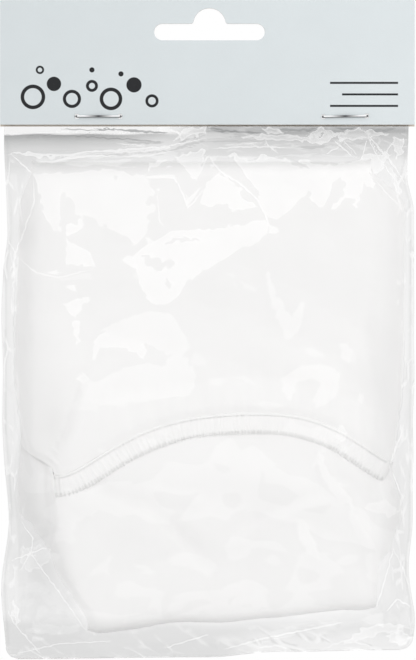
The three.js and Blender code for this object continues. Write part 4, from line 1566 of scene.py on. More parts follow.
    def _below_card(self, x: Array, z: Array, wander: float, wavelength: float, seed: int) -> Array:
        """Millimetres below the card's foot, wandering a little from side to side.

        Args:
            x, z: places on the wall.
            wander: how far the height wanders, in millimetres.
            wavelength: typical distance from one crest to the next.
            seed: seed of the draws.

        Returns:
            The distance at each place, negative under the card.
        """
        below = (self.form.card_foot - z) / MM
        return below + wander * ripple(x, 0 * z, wavelength, seed) * unit(below / 2)

    def _across_head(self, tables: Sequence[Table], below: Array, x: Array) -> Array:
        """Reads the tables of the head's left and right part and blends them where they meet.

        Args:
            tables: the left table and the right one.
            below: millimetres below the card's foot.
            x: places across the pack.

        Returns:
            The value at each place.
        """
        values = [np.interp(below, *np.asarray(table).T) for table in tables]
        start, end = (PICTURE.x(px) for px in self.HEAD_CHANGE_PX)
        return mix(*values, ease((x - start) / (end - start)))

    def _wall(
        self, x: Array, z: Array, relief: Callable[[Array, Array], Array], panel_drop: float = 0,
    ) -> tuple[Array, Array]:
        """Shapes one wall.

        Args:
            x, z: places of the wall's grid.
            relief: height over the slack film at given places.
            panel_drop: how much lower than the front panel the card ends on this side.

        Returns:
            The distance from the middle plane, and the painted shade, from 0 to 1.
        """
        slack = self.form.half_depth(x, z)
        full = unit(slack / (0.45 * slack.max()))
        height = slack + relief(x, z) * ease(full)
        lowest = self.against_cap_share * slack + 0.05 * MM
        height = lowest + self.soft * np.logaddexp(0, (height - lowest) / self.soft)
        below = self._below_card(x, z + panel_drop, 0.25, 28 * MM, 43)
        head = self._across_head((self.LEFT_HEAD, self.RIGHT_HEAD), below, x)
        height = self.flat_half + blurred(height * head, self.blur)
        slope_z = np.gradient(height, axis=0) / np.gradient(z, axis=0)
        slope_x = np.gradient(height, axis=1) / np.gradient(x, axis=1)
        # Painted shade where the film is steep or sharply bent, added to the painted shade set by
        # place
        tilt = 1 - 1 / np.sqrt(1 + slope_x**2 + slope_z**2)
        bend = np.hypot(np.gradient(slope_z, axis=0), np.gradient(slope_x, axis=1))
        in_head = ease((z - self.form.card_foot + self.head_length) / (3 * MM))
        folds = self.fold_painted_shade * np.clip(bend - 0.06, 0, 0.3)
        painted_shade = self.steep_painted_shade * tilt * (1 - in_head) + folds
        return height, unit(painted_shade + self._painted_shade_by_place(x, z))

    def _painted_shade_by_place(self, x: Array, z: Array) -> Array:
        """Paints shade on a wall by place, whatever its folds.

        Args:
            x, z: places on the wall.

        Returns:
            The painted shade, from 0 to 1.
        """
        below = self._below_card(x, z, 0.16, 19 * MM, 44)
        head = self._across_head((self.LEFT_HEAD_SHADE, self.RIGHT_HEAD_SHADE), below, x)
        wavy = x + 0.5 * MM * ripple(0 * x, z, 34 * MM, 45)
        across_px = wavy / PICTURE.pixel + PICTURE.slot_middle_px
        middle_px, wide_px = self.GLINT_PX
        # Painted glint: clears the head's painted shade in a bright strip under the card
        glint = self.glint * np.exp(-(((across_px - middle_px) / wide_px) ** 2))
        glint = glint * (1 - rise(below, self.GLINT_END))
        left_head_painted_shade = (1 - rise(across_px, self.LEFT_HEAD_PX)) * rise(below, self.LEFT_HEAD_START)
        left_head_painted_shade = left_head_painted_shade * (1 - rise(below, self.LEFT_HEAD_END))
        head = head * (1 - glint) + self.left_head_painted_shade * left_head_painted_shade
        margins = (self.LEFT_PAINTED_SHADE, self.RIGHT_PAINTED_SHADE)
        sides = sum(np.interp(across_px, *np.asarray(table).T) for table in margins)
        middle_px, high, gain = self.SHADED_SIDE
        shaded = 1 + gain * np.exp(-(((z - PICTURE.z(middle_px)) / (high * MM)) ** 2)) * (x < 0)
        above_foot = (z - self.form.foot_at(0.5)) / MM + 0.6 * ripple(x, 0 * z, 30 * MM, 46)
        foot = np.interp(above_foot, *np.asarray(self.FOOT_PAINTED_SHADE).T)
        right_share = mix(*self.RIGHT_FOOT, rise(above_foot, self.RIGHT_FOOT_START))
        foot = foot * mix(1, right_share, PICTURE.rise_across(x, self.RIGHT_FOOT_PX))
        low = self.low_painted_shade * rise(below, self.LOW_VEIL_START)
        body = self.body_painted_shade * (1 - rise(below, self.BODY_VEIL_END)) + low
        shades = 0
        for px, py, wide, high, veil in self.SHADES:
            out_x, out_z = (x - PICTURE.x(px)) / (wide * MM), (z - PICTURE.z(py)) / (high * MM)
            shades = shades + veil * np.exp(-(out_x**2) - out_z**2)
        lower = rise(below, self.MARGINS_START) * (np.maximum(sides * shaded, foot) + shades)
        return np.maximum(np.maximum(head, lower), body)

    def build(self) -> bpy.types.Object:
        """Returns:
            The film.
        """
        x, z = self._grid()
        height, painted_shade = self._wall(x, z, self._front_relief)
        back_x, back_z = x[::2, ::2], z[::2, ::2]
        drop = self.form.back_drop + self.under_panel
        back_height, back_painted_shade = self._wall(back_x, back_z, self._back_relief, drop)
        height[:, 0] = height[:, -1] = height[-1, :] = 0
        front_points = np.stack([x, -height, z], axis=-1).reshape(-1, 3)
        back_points = np.stack([back_x, back_height, back_z], axis=-1).reshape(-1, 3)
        points = np.vstack([front_points, back_points])
        film = make_object("clear_film_bag", points, self._joined_faces(x.shape, back_x.shape))
        set_attribute(film, "painted_shade", np.concatenate([painted_shade.ravel(), back_painted_shade.ravel()]))
        back_crush = self._crush_shares(back_x, back_z)
        for name, numbers in self._fold_numbers(x, z).items():
            behind = back_crush.get(name, np.full(back_x.shape, FAR))
            set_attribute(film, name, np.concatenate([numbers.ravel(), behind.ravel()]))
        remove_loose_points(film)
        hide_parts("film_bag")
        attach(film, Body.PACK.value)
        return film

    @staticmethod
    def _joined_faces(shape: tuple[int, int], back_shape: tuple[int, int]) -> list[list[int]]:
        """Joins the walls at the sides and the foot; the back has every second row and column.

        Args:
            shape: rows and columns of the front wall.
            back_shape: rows and columns of the back wall.

        Returns:
            The faces of both walls.
        """
        front = np.arange(math.prod(shape)).reshape(shape)
        back = front.size + np.arange(math.prod(back_shape)).reshape(back_shape)
        back[:, 0], back[:, -1], back[-1, :] = front[::2, 0], front[::2, -1], front[-1, ::2]
        faces = grid_faces(*shape).tolist()
        last_row, last_column = back_shape[0] - 2, back_shape[1] - 2
        for r in range(last_row + 1):
            for c in range(last_column + 1):
                face = [back[r, c], back[r, c + 1]]
                if c == last_column:
                    face.append(front[2 * r + 1, -1])
                face.append(back[r + 1, c + 1])
                if r == last_row:
                    face.append(front[-1, 2 * c + 1])
                face.append(back[r + 1, c])
                if c == 0:
                    face.append(front[2 * r + 1, 0])
                faces.append([int(corner) for corner in face])
        return faces


def remove_loose_points(obj: bpy.types.Object) -> None:
    """Deletes the points that no face uses.

    Args:
        obj: the object to clean.
    """
    deselect_all()
    bpy.context.view_layer.objects.active = obj
    obj.select_set(True)
    bpy.ops.object.mode_set(mode="EDIT")
    bpy.ops.mesh.select_all(action="SELECT")
    bpy.ops.mesh.delete_loose(use_verts=True, use_edges=False, use_faces=False)
    bpy.ops.object.mode_set(mode="OBJECT")
    deselect_all()


@dataclass
class RimLine:
    """Centre line of the gathered rim, from left to right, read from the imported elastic."""

    x: Array
    z: Array
    up_x: Array
    up_z: Array
    front_y: Array
    rear_y: Array

    CASING_ABOVE_ELASTIC = 1.05 * MM
    CURVE_DEGREE = 8
    SAMPLES = 600

    @classmethod
    def from_frame(cls, elastic: bpy.types.Object) -> RimLine:
        """Fits smooth lines through the front and the rear run of the elastic.

        Args:
            elastic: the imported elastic.

        Returns:
            The line of the casing's middle.
        """
        points = np.array([vertex.co for vertex in elastic.data.vertices])
        low, high = points.min(0), points.max(0)
        tilt = np.polyfit(points[:, 0], points[:, 1], 1)
        in_front = points[:, 1] < np.polyval(tilt, points[:, 0])
        run, rear = points[in_front], points[~in_front]
        level = np.polynomial.Polynomial.fit(run[:, 0], run[:, 2], cls.CURVE_DEGREE)
        front_y = np.polynomial.Polynomial.fit(run[:, 0], run[:, 1], 1)
        rear_y = np.polynomial.Polynomial.fit(rear[:, 0], rear[:, 1], 1)
        half_gap = (rear_y(0) - front_y(0)) / 2
        x = np.linspace(low[0] + half_gap, high[0] - half_gap, cls.SAMPLES)
        z = level(x)
        tangent = np.stack([np.gradient(x), np.gradient(z)])
        tangent /= np.hypot(*tangent)
        up_x, up_z = -tangent[1], tangent[0]
        raised_x = x + cls.CASING_ABOVE_ELASTIC * up_x
        raised_z = z + cls.CASING_ABOVE_ELASTIC * up_z
        return cls(raised_x, raised_z, up_x, up_z, front_y(x), rear_y(x))

    def at(self, values: Array, share: Array) -> Array:
        """One of the line's values at a share of its samples."""
        return np.interp(share, np.linspace(0, 1, len(values)), values)

    def length(self) -> float:
        """Length of one run."""
        return float(np.hypot(np.diff(self.x), np.diff(self.z)).sum())


@dataclass(frozen=True)
class SoftFold:
    """Soft ridge of the sheet along a line or, with a negative height, a hollow.

    With a reach it is a step instead: it lies to the left of a line that rises, and runs out
    over that reach.
    """

    route_px: Flat
    height_mm: float
    width_mm: float
    reach_mm: float = 0

    def relief(self, x: Array, z: Array) -> Array:
        """Raises the sheet along the fold, running out at both ends.

        Args:
            x, z: places on the sheet.

        Returns:
            The height at each place.
        """
        route = PICTURE.route(self.route_px)
        if self.reach_mm:
            apart = np.interp(z, route[:, 1], route[:, 0]) - x
            share = unit((z - route[0, 1]) / (route[-1, 1] - route[0, 1]))
            run_out = np.exp(-np.maximum(apart, 0) / (self.reach_mm * MM))
            form = ease(apart / (self.width_mm * MM)) * run_out
        else:
            apart, share = route_side(x, z, route)
            form = np.exp(-((apart / (self.width_mm * MM)) ** 2))
        return self.height_mm * MM * swell(np.minimum(share, 1 - share) + 0.02, 0.25) * form


@dataclass
class CapCrown:
    """The cap's one sheet: up from the front rim, over the top, down, and up to the rear rim.

    The spare width of the round sheet lies in three plies, folded to and fro from side to side.
    """

    form: PackForm
    rim: RimLine
    cap_top: float
    cap_foot: float
    plies: int = 3
    ply_columns: int = 92
    crowding: float = 0.5
    free_level: float = 0.3
    free_length: float = 0.035
    ply_share: float = 0.92
    flush: float = 0.98 * MM
    lip_sunk: float = 0.26 * MM
    edge_scatter: float = 1.2 * MM
    gather_pitch: float = 4.6 * MM
    gather_depth: float = 0.16 * MM
    gather_length: float = 26 * MM
    plump_length: float = 0.5 * MM
    spread_length: float = 9 * MM
    pressed_length: float = 8 * MM
    pressed_share: float = 0.3
    past_casing: float = 1.9 * MM
    casing_height: float = 6.4 * MM
    below_middle: float = 2.45 * MM
    end_room: float = 1.7 * MM
    end_rise: float = 12
    highest_rise: float = 17 * MM
    rise_room: float = 1.5 * MM
    lip_depth: float = 0.7 * MM
    lip_above: float = 0.6 * MM
    drawn_in_rows: int = 14
    cloth_cut: float = 422 * MM

    # Middle of each layer, in layer pitches from the middle plane, and half of a layer
    front_share: float = -1.6
    rear_share: float = -0.6
    inner_share: float = 0.4
    back_share: float = 1.4
    lower_inner_share: float = -1.15
    lower_back_share: float = 0.95
    half_share: float = 0.36
    lower_half_share: float = 0.55
    fold_gap: float = 0.8 * MM

    # Side edges: share of the cap's height from its top, share of the bag's half width
    left_edge: tuple = (
        (0, 0.85), (0.1, 0.92), (0.45, 0.943), (0.57, 0.911), (0.695, 0.932), (0.737, 0.92),
        (0.77, 0.853), (0.813, 0.795), (0.834, 0.757), (1, 0.575),
    )
    right_edge: tuple = (
        (0, 0.77), (0.092, 0.963), (0.33, 0.958), (0.477, 0.946), (0.586, 0.916), (0.632, 0.886),
        (0.664, 0.906), (0.719, 0.94), (0.745, 0.945), (0.813, 0.90), (0.86, 0.83), (1, 0.813),
    )
    foot_edge: tuple = ((0, 1), (0.4, 0.976), (1, 0.949))

    # Rows of the sheet in each stretch of its way
    LIP, UP, TOP, DOWN, FOOT, INNER = 3, 60, 14, 66, 10, 32
    RISE, STEP, BEHIND, UNDER, HANG = 12, 7, 20, 10, 46
    # Columns round each turn from one ply to the next
    TURN = 7
    # Heights at which the casing's foot is looked for
    LEVELS = 3000

    FRONT_FOLDS = (
        SoftFold((53, 484, 55, 461, 62, 445, 72, 430, 73, 417, 86, 384, 92, 366), -1.1, 1.2, 12),
        SoftFold((96, 380, 86, 410, 74, 440, 66, 470), 0.35, 2.2),
        SoftFold((64, 475, 72, 485), -0.3, 0.8),
        SoftFold((120, 300, 105, 350, 100, 400), 0.35, 4),
        SoftFold((150, 320, 190, 350, 240, 345), 0.3, 5),
        SoftFold((300, 250, 320, 310, 310, 370), -0.3, 5),
        SoftFold((352, 240, 366, 320, 362, 400), 0.35, 4),
        SoftFold((60, 190, 52, 260, 50, 330), -0.35, 3),
    )
    LOWER_FOLDS = (
        SoftFold((50, 566, 52, 542, 58, 526, 57, 505, 53.7, 480, 55, 461, 62, 440), -2.1, 2.6, 30),
        SoftFold((75, 470, 115, 495, 150, 510, 190, 545, 212, 577), -0.8, 2.6),
        SoftFold((64, 492, 78, 500, 95, 512), 0.7, 3.2),
        SoftFold((137, 488, 170, 497, 203, 502), 0.55, 1.7),
        SoftFold((318, 446, 327, 481, 350, 499, 355, 519, 377, 551), 0.6, 2.0),
        SoftFold((328, 488, 292, 501, 265, 515, 211, 540), -0.55, 1.6),
        SoftFold((335, 500, 300, 512, 272, 524, 222, 549), 0.4, 1.5),
        SoftFold((345, 530, 300, 545, 260, 565), -0.5, 5),
        SoftFold((297, 522, 308, 540, 320, 561), 0.4, 1.4),
        SoftFold((366, 505, 385, 503, 401, 510), 0.5, 2.4),
        SoftFold((165, 520, 192, 545, 150, 565, 85, 582), -0.35, 2.0),
        SoftFold((120, 600, 180, 598, 250, 590), 0.35, 4),
        SoftFold((377, 545, 377, 585), -0.4, 1.1),
        SoftFold((60, 545, 75, 590, 95, 622), 0.4, 2.4),
    )

    def _hung_x(self, across: Array, z: Array) -> Array:
        """Place across the folded sheet.

        Args:
            across: share of the sheet's width there.
            z: height of the place.

        Returns:
            The place, in metres.
        """
        down = unit((self.cap_top - z) / (self.cap_top - self.cap_foot))
        edges = (self.left_edge, self.right_edge)
        left, right = (self.form.half_width * along(edge, down) for edge in edges)
        return mix(self.form.middle - left, self.form.middle + right, across)

    def _rim_foot(self, across: Array, highest_rise: float = 0) -> Array:
        """Finds the height just above the casing's foot in each column.

        Args:
            across: share of the width of each column.
            highest_rise: how far the height may rise past the casing's ends.

        Returns:
            The heights.
        """
        foot_x = self.rim.x - self.below_middle * self.rim.up_x
        foot_z = self.rim.z - self.below_middle * self.rim.up_z
        levels = np.linspace(self.cap_foot, foot_z.max() + highest_rise, self.LEVELS)[:, None]
        x = self._hung_x(across, levels)
        past = np.maximum(foot_x[0] - x, x - foot_x[-1]) - self.end_room
        foot = np.interp(x, foot_x, foot_z) + np.clip(self.end_rise * past, 0, highest_rise)
        return levels[(levels >= foot).argmax(axis=0), 0]

    def _pitch(self, x: Array, z: Array) -> Array:
        """Distance from one layer to the next at a place."""
        return self.form.layer_pitch * self.form.fullness(x, z)

    def _layer(self, shares: tuple[float, float], z: Array, rim_z: Array) -> Array:
        """A layer's place in pitches: the first share above the rim, the second one below it."""
        return mix(*shares, swell(rim_z - z, self.plump_length))

    def _panel(
        self, across: Array, from_z: Array, to_z: Array, rows: int,
        shares: tuple[float, float], rim_z: Array, lip_x: Array | None = None,
    ) -> Array:
        """Lays one layer between two heights.

        Args:
            across: share of the width of each column.
            from_z, to_z: heights of the layer's ends in each column.
            rows: how many rows it has.
            shares: the layer's place in layer pitches, above the rim and below it.
            rim_z: height of the casing's foot in each column.
            lip_x: where the columns start when they come out of the casing.

        Returns:
            Places, for each row and column.
        """
        t = (np.arange(1, rows + 1) / rows)[:, None]
        z = mix(from_z, to_z, t)
        x = self._hung_x(across, z)
        if lip_x is not None:
            x = mix(lip_x, x, ease((z - from_z) / self.spread_length))
        return np.stack([x, self._layer(shares, z, rim_z) * self._pitch(x, z), z], axis=-1)

    @staticmethod
    def _turn(start: Array, to_y: Array, way: int, rows: int) -> Array:
        """Turns round from one layer to the next.

        Args:
            start: last row of the layer before.
            to_y: where the next layer starts.
            way: 1 for up over the top, -1 for down round the foot.
            rows: how many steps the half turn has.

        Returns:
            Places, for each row and column.
        """
        radius = (to_y - start[:, 1]) / 2
        angle = (math.pi * np.arange(1, rows) / rows)[:, None]
        y = start[:, 1] + radius * (1 - np.cos(angle))
        z = start[:, 2] + way * np.abs(radius) * np.sin(angle)
        return np.stack([start[:, 0] + 0 * y, y, z], axis=-1)

    def _lip(self, across: Array, run_y: Array) -> Array:
        """Lays the sheet's edge in the casing, from its end up to just above the casing.

        Args:
            across: share of the width of each column.
            run_y: where that run of the casing lies.

        Returns:
            Places, for each row and column.
        """
        x, z = self.rim.at(self.rim.x, across), self.rim.at(self.rim.z, across)
        up_x, up_z = self.rim.at(self.rim.up_x, across), self.rim.at(self.rim.up_z, across)
        x = x + self.past_casing * (2 * across - 1) * np.abs(2 * across - 1) ** 3
        y = self.rim.at(run_y, across)
        top = self.casing_height / 2
        heights = np.linspace(top - self.lip_depth, top + self.lip_above, self.LIP)
        return np.stack([np.stack([x + h * up_x, y, z + h * up_z], axis=-1) for h in heights])

    def _way(self, across: Array) -> tuple[Array, dict[str, slice]]:
        """Leads the sheet through the pack.

        Args:
            across: share of the width of each column.

        Returns:
            Places for each row and column, and the rows of each stretch.
        """
        form = self.form
        front, rear = self._lip(across, self.rim.front_y), self._lip(across, self.rim.rear_y)
        rim_z = self._rim_foot(across, self.highest_rise)
        low_z = rim_z - self.plump_length
        even_z = self._rim_foot(across) - self.plump_length - self.rise_room
        before, behind = (self.front_share,) * 2, (self.rear_share,) * 2
        back = (self.back_share, self.lower_back_share)
        inner = (self.inner_share, self.lower_inner_share)
        top_z = self.cap_top - form.layer_pitch * form.fill_share
        top_pitch = self._pitch(self._hung_x(across, top_z), top_z)
        outer_radius = (self.back_share - self.front_share) / 2 * top_pitch
        fold_z = self.cap_top - outer_radius - self.half_share * top_pitch
        foot_z = self.cap_top - (self.cap_top - self.cap_foot) * along(self.foot_edge, across)
        plump_z = foot_z + form.layer_pitch
        foot_pitch = self._pitch(self._hung_x(across, plump_z), plump_z)
        foot_radius = (self.lower_back_share - self.lower_inner_share) / 2 * foot_pitch
        turn_z = foot_z + foot_radius + self.lower_half_share * foot_pitch
        under_radius = (self.inner_share - self.rear_share) / 2 * top_pitch
        under_z = fold_z + outer_radius - 2 * self.half_share * top_pitch
        under_z = under_z - self.fold_gap - under_radius

        way = {"front_lip": front}
        start_x, _, start_z = front[-1].T
        way["up"] = self._panel(across, start_z, fold_z, self.UP, before, rim_z, start_x)
        top_row = way["up"][-1]
        over_y = self.back_share * self._pitch(top_row[:, 0], top_row[:, 2])
        way["top"] = self._turn(top_row, over_y, 1, self.TOP)
        way["down"] = self._panel(across, fold_z, turn_z, self.DOWN, back, rim_z)
        low_row = way["down"][-1]
        inner_y = self._layer(inner, turn_z, rim_z) * self._pitch(low_row[:, 0], turn_z)
        way["foot"] = self._turn(low_row, inner_y, -1, self.FOOT)
        way["inner"] = self._panel(across, turn_z, even_z, self.INNER, inner, rim_z)
        way["rise"] = self._panel(across, even_z, low_z, self.RISE, inner, rim_z)
        way["step"] = self._panel(across, low_z, rim_z, self.STEP, inner, rim_z)
        way["behind"] = self._panel(across, rim_z, under_z, self.BEHIND, inner, rim_z)
        tucked_row = way["behind"][-1]
        rear_y = self.rear_share * self._pitch(tucked_row[:, 0], tucked_row[:, 2])
        way["under"] = self._turn(tucked_row, rear_y, 1, self.UNDER)
        start_x, _, start_z = rear[-1].T
        hang = self._panel(across, start_z, under_z, self.HANG, behind, rim_z, start_x)
        way["hang"], way["rear_lip"] = hang[::-1], rear[::-1]
        rows, slices = 0, {}
        for name, stretch in way.items():
            slices[name] = slice(rows, rows + len(stretch))
            rows += len(stretch)
        return np.concatenate(list(way.values())), slices

    def _relief(self, way: Array, rows: dict[str, slice]) -> Array:
        """Raises the sheet's folds.

        Args:
            way: places for each row and column.
            rows: the rows of each stretch.

        Returns:
            The height over the sheet's way.
        """
        x, z = way[..., 0], way[..., 2]
        steps = np.hypot(np.diff(way[..., 1], axis=0), np.diff(z, axis=0))
        run = np.concatenate([np.zeros((1, x.shape[1])), np.cumsum(steps, axis=0)])
        crushed = crumple(x, run, 17 * MM, 62, 1.4, 1.2)
        height = 0.16 * MM * ripple(x, run, 16 * MM, 61) + 0.30 * MM * crushed
        height = height + 0.03 * MM * ripple(x, run, 4 * MM, 63)
        below = slice(rows["inner"].start, rows["step"].stop)
        for part, folds in ((rows["up"], self.FRONT_FOLDS), (below, self.LOWER_FOLDS)):
            height[part] += sum(fold.relief(x[part], z[part]) for fold in folds)
        for name in ("up", "hang"):
            part = rows[name]
            rim_share = unit((x[part] - self.rim.x[0]) / np.ptp(self.rim.x))
            above = z[part] - self.rim.at(self.rim.z, rim_share)
            fade = 1 - ease((above - self.casing_height / 2) / self.gather_length)
            lean = 0.25 * (above / self.gather_length)
            phase = 2 * math.pi * (x[part] + lean * 3 * MM) / self.gather_pitch
            phase = phase + 1.4 * ripple(x[part], 0 * x[part], 23 * MM, 64)
            height[part] += self.gather_depth * fade * np.cos(phase)
        return height

    def _columns(self) -> tuple[Array, Array, Array, Array]:
        """Lays out the columns of the sheet.

        Returns:
            Plies passed, share of the width, ply level, and bulge of a turn, for each column.
        """
        turn = np.linspace(-math.pi / 2, math.pi / 2, self.TURN + 2)[1:-1]
        run = np.linspace(0, 1, self.ply_columns)
        run = mix(run, 0.5 - 0.5 * np.cos(math.pi * run), self.crowding)
        columns = []
        for ply in range(self.plies):
            across = run if ply % 2 == 0 else run[::-1]
            columns.append(np.stack([ply + run, across, ply + 0 * run, 0 * run]))
            if ply < self.plies - 1:
                still, end = 0 * turn, across[-1]
                outwards = 1 if end > 0.5 else -1
                climb = ply + 0.5 + 0.5 * np.sin(turn)
                bulge = outwards * np.cos(turn)
                columns.append(np.stack([ply + 1 + still, end + still, climb, bulge]))
        passed, across, level, bulge = np.concatenate(columns, axis=1)
        from_end = np.minimum(passed, self.plies - passed)
        lying = mix(self.free_level, 1, ease(from_end / self.free_length))
        return passed, across, (level - (self.plies - 1) / 2) * lying, bulge

    def build(self) -> bpy.types.Object:
        """Builds the sheet and puts it in place of its solid.

        Returns:
            The sheet.
        """
        passed, across, level, bulge = self._columns()
        way, rows = self._way(across)
        scatter = np.random.default_rng(71).uniform(0, 1, self.plies + 1)
        near_turn = np.round(passed).astype(int)
        side = np.where(across < 0.5, 1, -1)
        pull = np.exp(-(((passed - near_turn) / 0.06) ** 2)) * scatter[near_turn] * side
        way[..., 0] += self.edge_scatter * pull[None, :]
        step = np.gradient(way, axis=0)
        length = np.hypot(step[..., 1], step[..., 2])
        normal_y, normal_z = -step[..., 2] / length, step[..., 1] / length
        normal_y[rows["step"]], normal_z[rows["step"]] = -1, 0
        gap = self._ply_gap(way, rows, across)
        offset = gap * -level[None, :] + self._relief(way, rows)
        way[..., 0] += gap * bulge / 2
        way[..., 1] += normal_y * offset
        way[..., 2] += normal_z * offset
        faces = grid_faces(*way.shape[:2])
        crown = make_object("cap_sheet_crown", way.reshape(-1, 3), faces.tolist())
        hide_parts("cap_crown")
        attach(crown, Body.PACK.value)
        return crown

    def _ply_gap(self, way: Array, rows: dict[str, slice], across: Array) -> Array:
        """Spaces the plies, which are drawn together where they enter the casing.

        Args:
            way: places for each row and column.
            rows: the rows of each stretch.
            across: share of the width of each column.

        Returns:
            The distance from one ply to the next.
        """
        drawn_in = np.ones(len(way))
        for name, ending in (("up", False), ("hang", True)):
            part = rows[name]
            climb = unit(np.arange(part.stop - part.start) / self.drawn_in_rows)
            drawn_in[part] = climb[::-1] if ending else climb
        for name in ("front_lip", "rear_lip"):
            drawn_in[rows[name]] = 0
        rim_z = self._rim_foot(across, self.highest_rise)
        plump = ease((rim_z - way[..., 2]) / self.plump_length)
        half = mix(self.half_share, self.lower_half_share, plump)
        half = half * self._pitch(way[..., 0], way[..., 2])
        from_side = np.minimum(across, 1 - across) * 2 * self.form.half_width
        half = half * mix(self.pressed_share, 1, swell(from_side, self.pressed_length))
        spread = ease(drawn_in)[:, None]
        gap = np.maximum(half * self.ply_share * spread, self.flush * (1 - spread))
        sunk = self.lip_sunk * np.linspace(1, 0, self.LIP)[:, None]
        gap[rows["front_lip"]] -= sunk
        gap[rows["rear_lip"]] -= sunk[::-1]
        return gap


@dataclass
class RimCasing:
    """Gathered hem strip that wraps the elastic, with its two rows of stitches."""

    rim: RimLine
    height: float = 6.4 * MM
    wall: float = 0.35 * MM
    room: float = 1.0 * MM
    ring_step: float = 0.23 * MM
    lap_from_px: float = 215
    lap_to_px: float = 243
    lap_rise: float = 0.22 * MM
    scallop: float = 0.16 * MM
    deep_gather: float = 0.09 * MM
    stitch_pitch: float = 0.95 * MM
    upper_stitch_height: float = 2.35 * MM
    lower_stitch_height: float = -2.45 * MM

    # Gathers: place in the picture, their pitch and their depth in millimetres
    pitch_px: tuple = ((57, 1.8), (186, 1.5), (225, 0.93), (329, 0.95), (345, 1.45), (392, 1.45))
    depth_px: tuple = (
        (57, 0.03), (100, 0.08), (148, 0.11), (186, 0.06), (225, 0.04), (320, 0.05), (345, 0.12),
        (392, 0.09),
    )

    def _rings(self) -> dict[str, Array]:
        """Lays rings round the loop, one behind the other.

        Returns:
            Their middles, directions, way along the seam, gathers and lap, by name.
        """
        rim = self.rim
        steps = round(rim.length() / self.ring_step)
        share = np.linspace(0, 1, steps + 1)
        x, z = rim.at(rim.x, share), rim.at(rim.z, share)
        up = np.stack([rim.at(rim.up_x, share), 0 * x, rim.at(rim.up_z, share)], axis=-1)
        side = np.stack([up[:, 2], 0 * x, -up[:, 0]], axis=-1)
        front = np.stack([x, rim.at(rim.front_y, share), z], axis=-1)
        rear = np.stack([x, rim.at(rim.rear_y, share), z], axis=-1)
        forward = np.array([0.0, -1.0, 0.0])
        runs = [(front, up, np.tile(forward, (len(x), 1)))]
        for end, way in ((-1, 1), (0, -1)):
            radius = (rear[end, 1] - front[end, 1]) / 2
            middle = (front[end] + rear[end]) / 2
            count = max(4, round(math.pi * radius / self.ring_step))
            angle = math.pi * np.arange(1, count)[:, None] / count
            out = way * side[end] * np.sin(angle) + way * forward * np.cos(angle)
            runs.append((middle + radius * out, np.tile(up[end], (count - 1, 1)), out))
            if way > 0:
                runs.append((rear[::-1], up[::-1], np.tile(-forward, (len(x), 1))))
        middle, up, out = (np.concatenate(parts) for parts in zip(*runs))
        travel = np.hypot(*np.diff(middle[:, ::2], axis=0).T)
        travel = np.maximum(travel, np.linalg.norm(np.diff(middle, axis=0), axis=1))
        seam = np.concatenate([[0], np.cumsum(travel)])
        px = middle[:, 0] / PICTURE.pixel + PICTURE.slot_middle_px
        pitch = along(self.pitch_px, px) * MM
        phase = np.concatenate([[0], np.cumsum(travel / pitch[1:])]) * 2 * math.pi
        phase += 0.5 * ripple(seam, 0 * seam, 7 * MM, 81)
        depth = along(self.depth_px, px) * MM * (1 + 0.3 * ripple(seam, 0 * seam, 5 * MM, 82))
        lap = ease((px - self.lap_from_px) / 2) * ease((self.lap_to_px - px) / 2) * (out[:, 1] < 0)
        return {
            "middle": middle, "up": up, "out": out, "seam": seam, "phase": phase, "depth": depth,
            "lap": lap,
        }

    def _wave(self, rings: dict[str, Array], height: float) -> Array:
        """Works out how far the gathers push the strip outwards.

        Args:
            rings: places and gathers of the rings.
            height: height above the strip's middle line.

        Returns:
            The distance at each ring.
        """
        sharp = mix(1, 0.45, unit((height + self.height / 2) / self.height))
        crest = np.cos(rings["phase"] + 0.35 * math.sin(height / MM))
        pressed = 1 - 0.6 * math.exp(-(((height - self.upper_stitch_height) / (0.5 * MM)) ** 2))
        return rings["depth"] * sharp * pressed * (crest + 0.25 * np.cos(2 * rings["phase"] + 1))

    def _section(self) -> list[tuple[float, float]]:
        """Draws the section of the folded strip.

        Returns:
            Its corners: height above its middle line, and distance outwards.
        """
        top, foot = self.height / 2, -self.height / 2
        outer, inner = self.room / 2 + self.wall, self.room / 2
        outer_wall = [
            (top, outer - 0.08 * MM), (top - 0.5 * MM, outer),
            (self.upper_stitch_height, outer - 0.1 * MM), (1.5 * MM, outer + 0.03 * MM),
            (0.4 * MM, outer + 0.05 * MM), (-0.8 * MM, outer + 0.04 * MM), (-1.8 * MM, outer),
            (foot + 0.6 * MM, outer - 0.14 * MM), (foot + 0.15 * MM, outer - 0.45 * MM),
        ]
        far_wall = [(height, -distance) for height, distance in reversed(outer_wall)]
        hem = foot + self.wall
        lining = [(top, -inner), (hem, -inner), (hem, inner), (top, inner)]
        return [*outer_wall, (foot, 0.0), *far_wall, *lining]

    def build(self) -> bpy.types.Object:
        """Builds the strip and puts it in place of its solid.

        Returns:
            The strip.
        """
        rings = self._rings()
        corners = []
        crests = unit(np.cos(rings["phase"]))
        scallop = -self.scallop * crests * unit(rings["depth"] / self.deep_gather)
        for height, outwards in self._section():
            drop = scallop if height < -self.height / 2 + self.wall else 0
            push = self._wave(rings, height) + outwards
            if outwards > self.room / 2:
                push = push + self.lap_rise * rings["lap"]
            corner = rings["middle"] + rings["up"] * np.reshape(height + drop, (-1, 1))
            corners.append(corner + rings["out"] * push[:, None])
        points = np.stack(corners, axis=1)
        count, sides = points.shape[:2]
        index = np.arange(count * sides).reshape(count, sides)
        after, beside = np.roll(index, -1, axis=0), np.roll(index, -1, axis=1)
        faces = np.stack([index, beside, np.roll(after, -1, axis=1), after], axis=-1)
        faces = faces.reshape(-1, 4).tolist()
        casing = make_object("gathered_rim_casing", points.reshape(-1, 3), faces)
        set_attribute(casing, "seam", np.repeat(rings["seam"], sides))
        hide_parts("rim_casing")
        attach(casing, Body.PACK.value)
        return casing

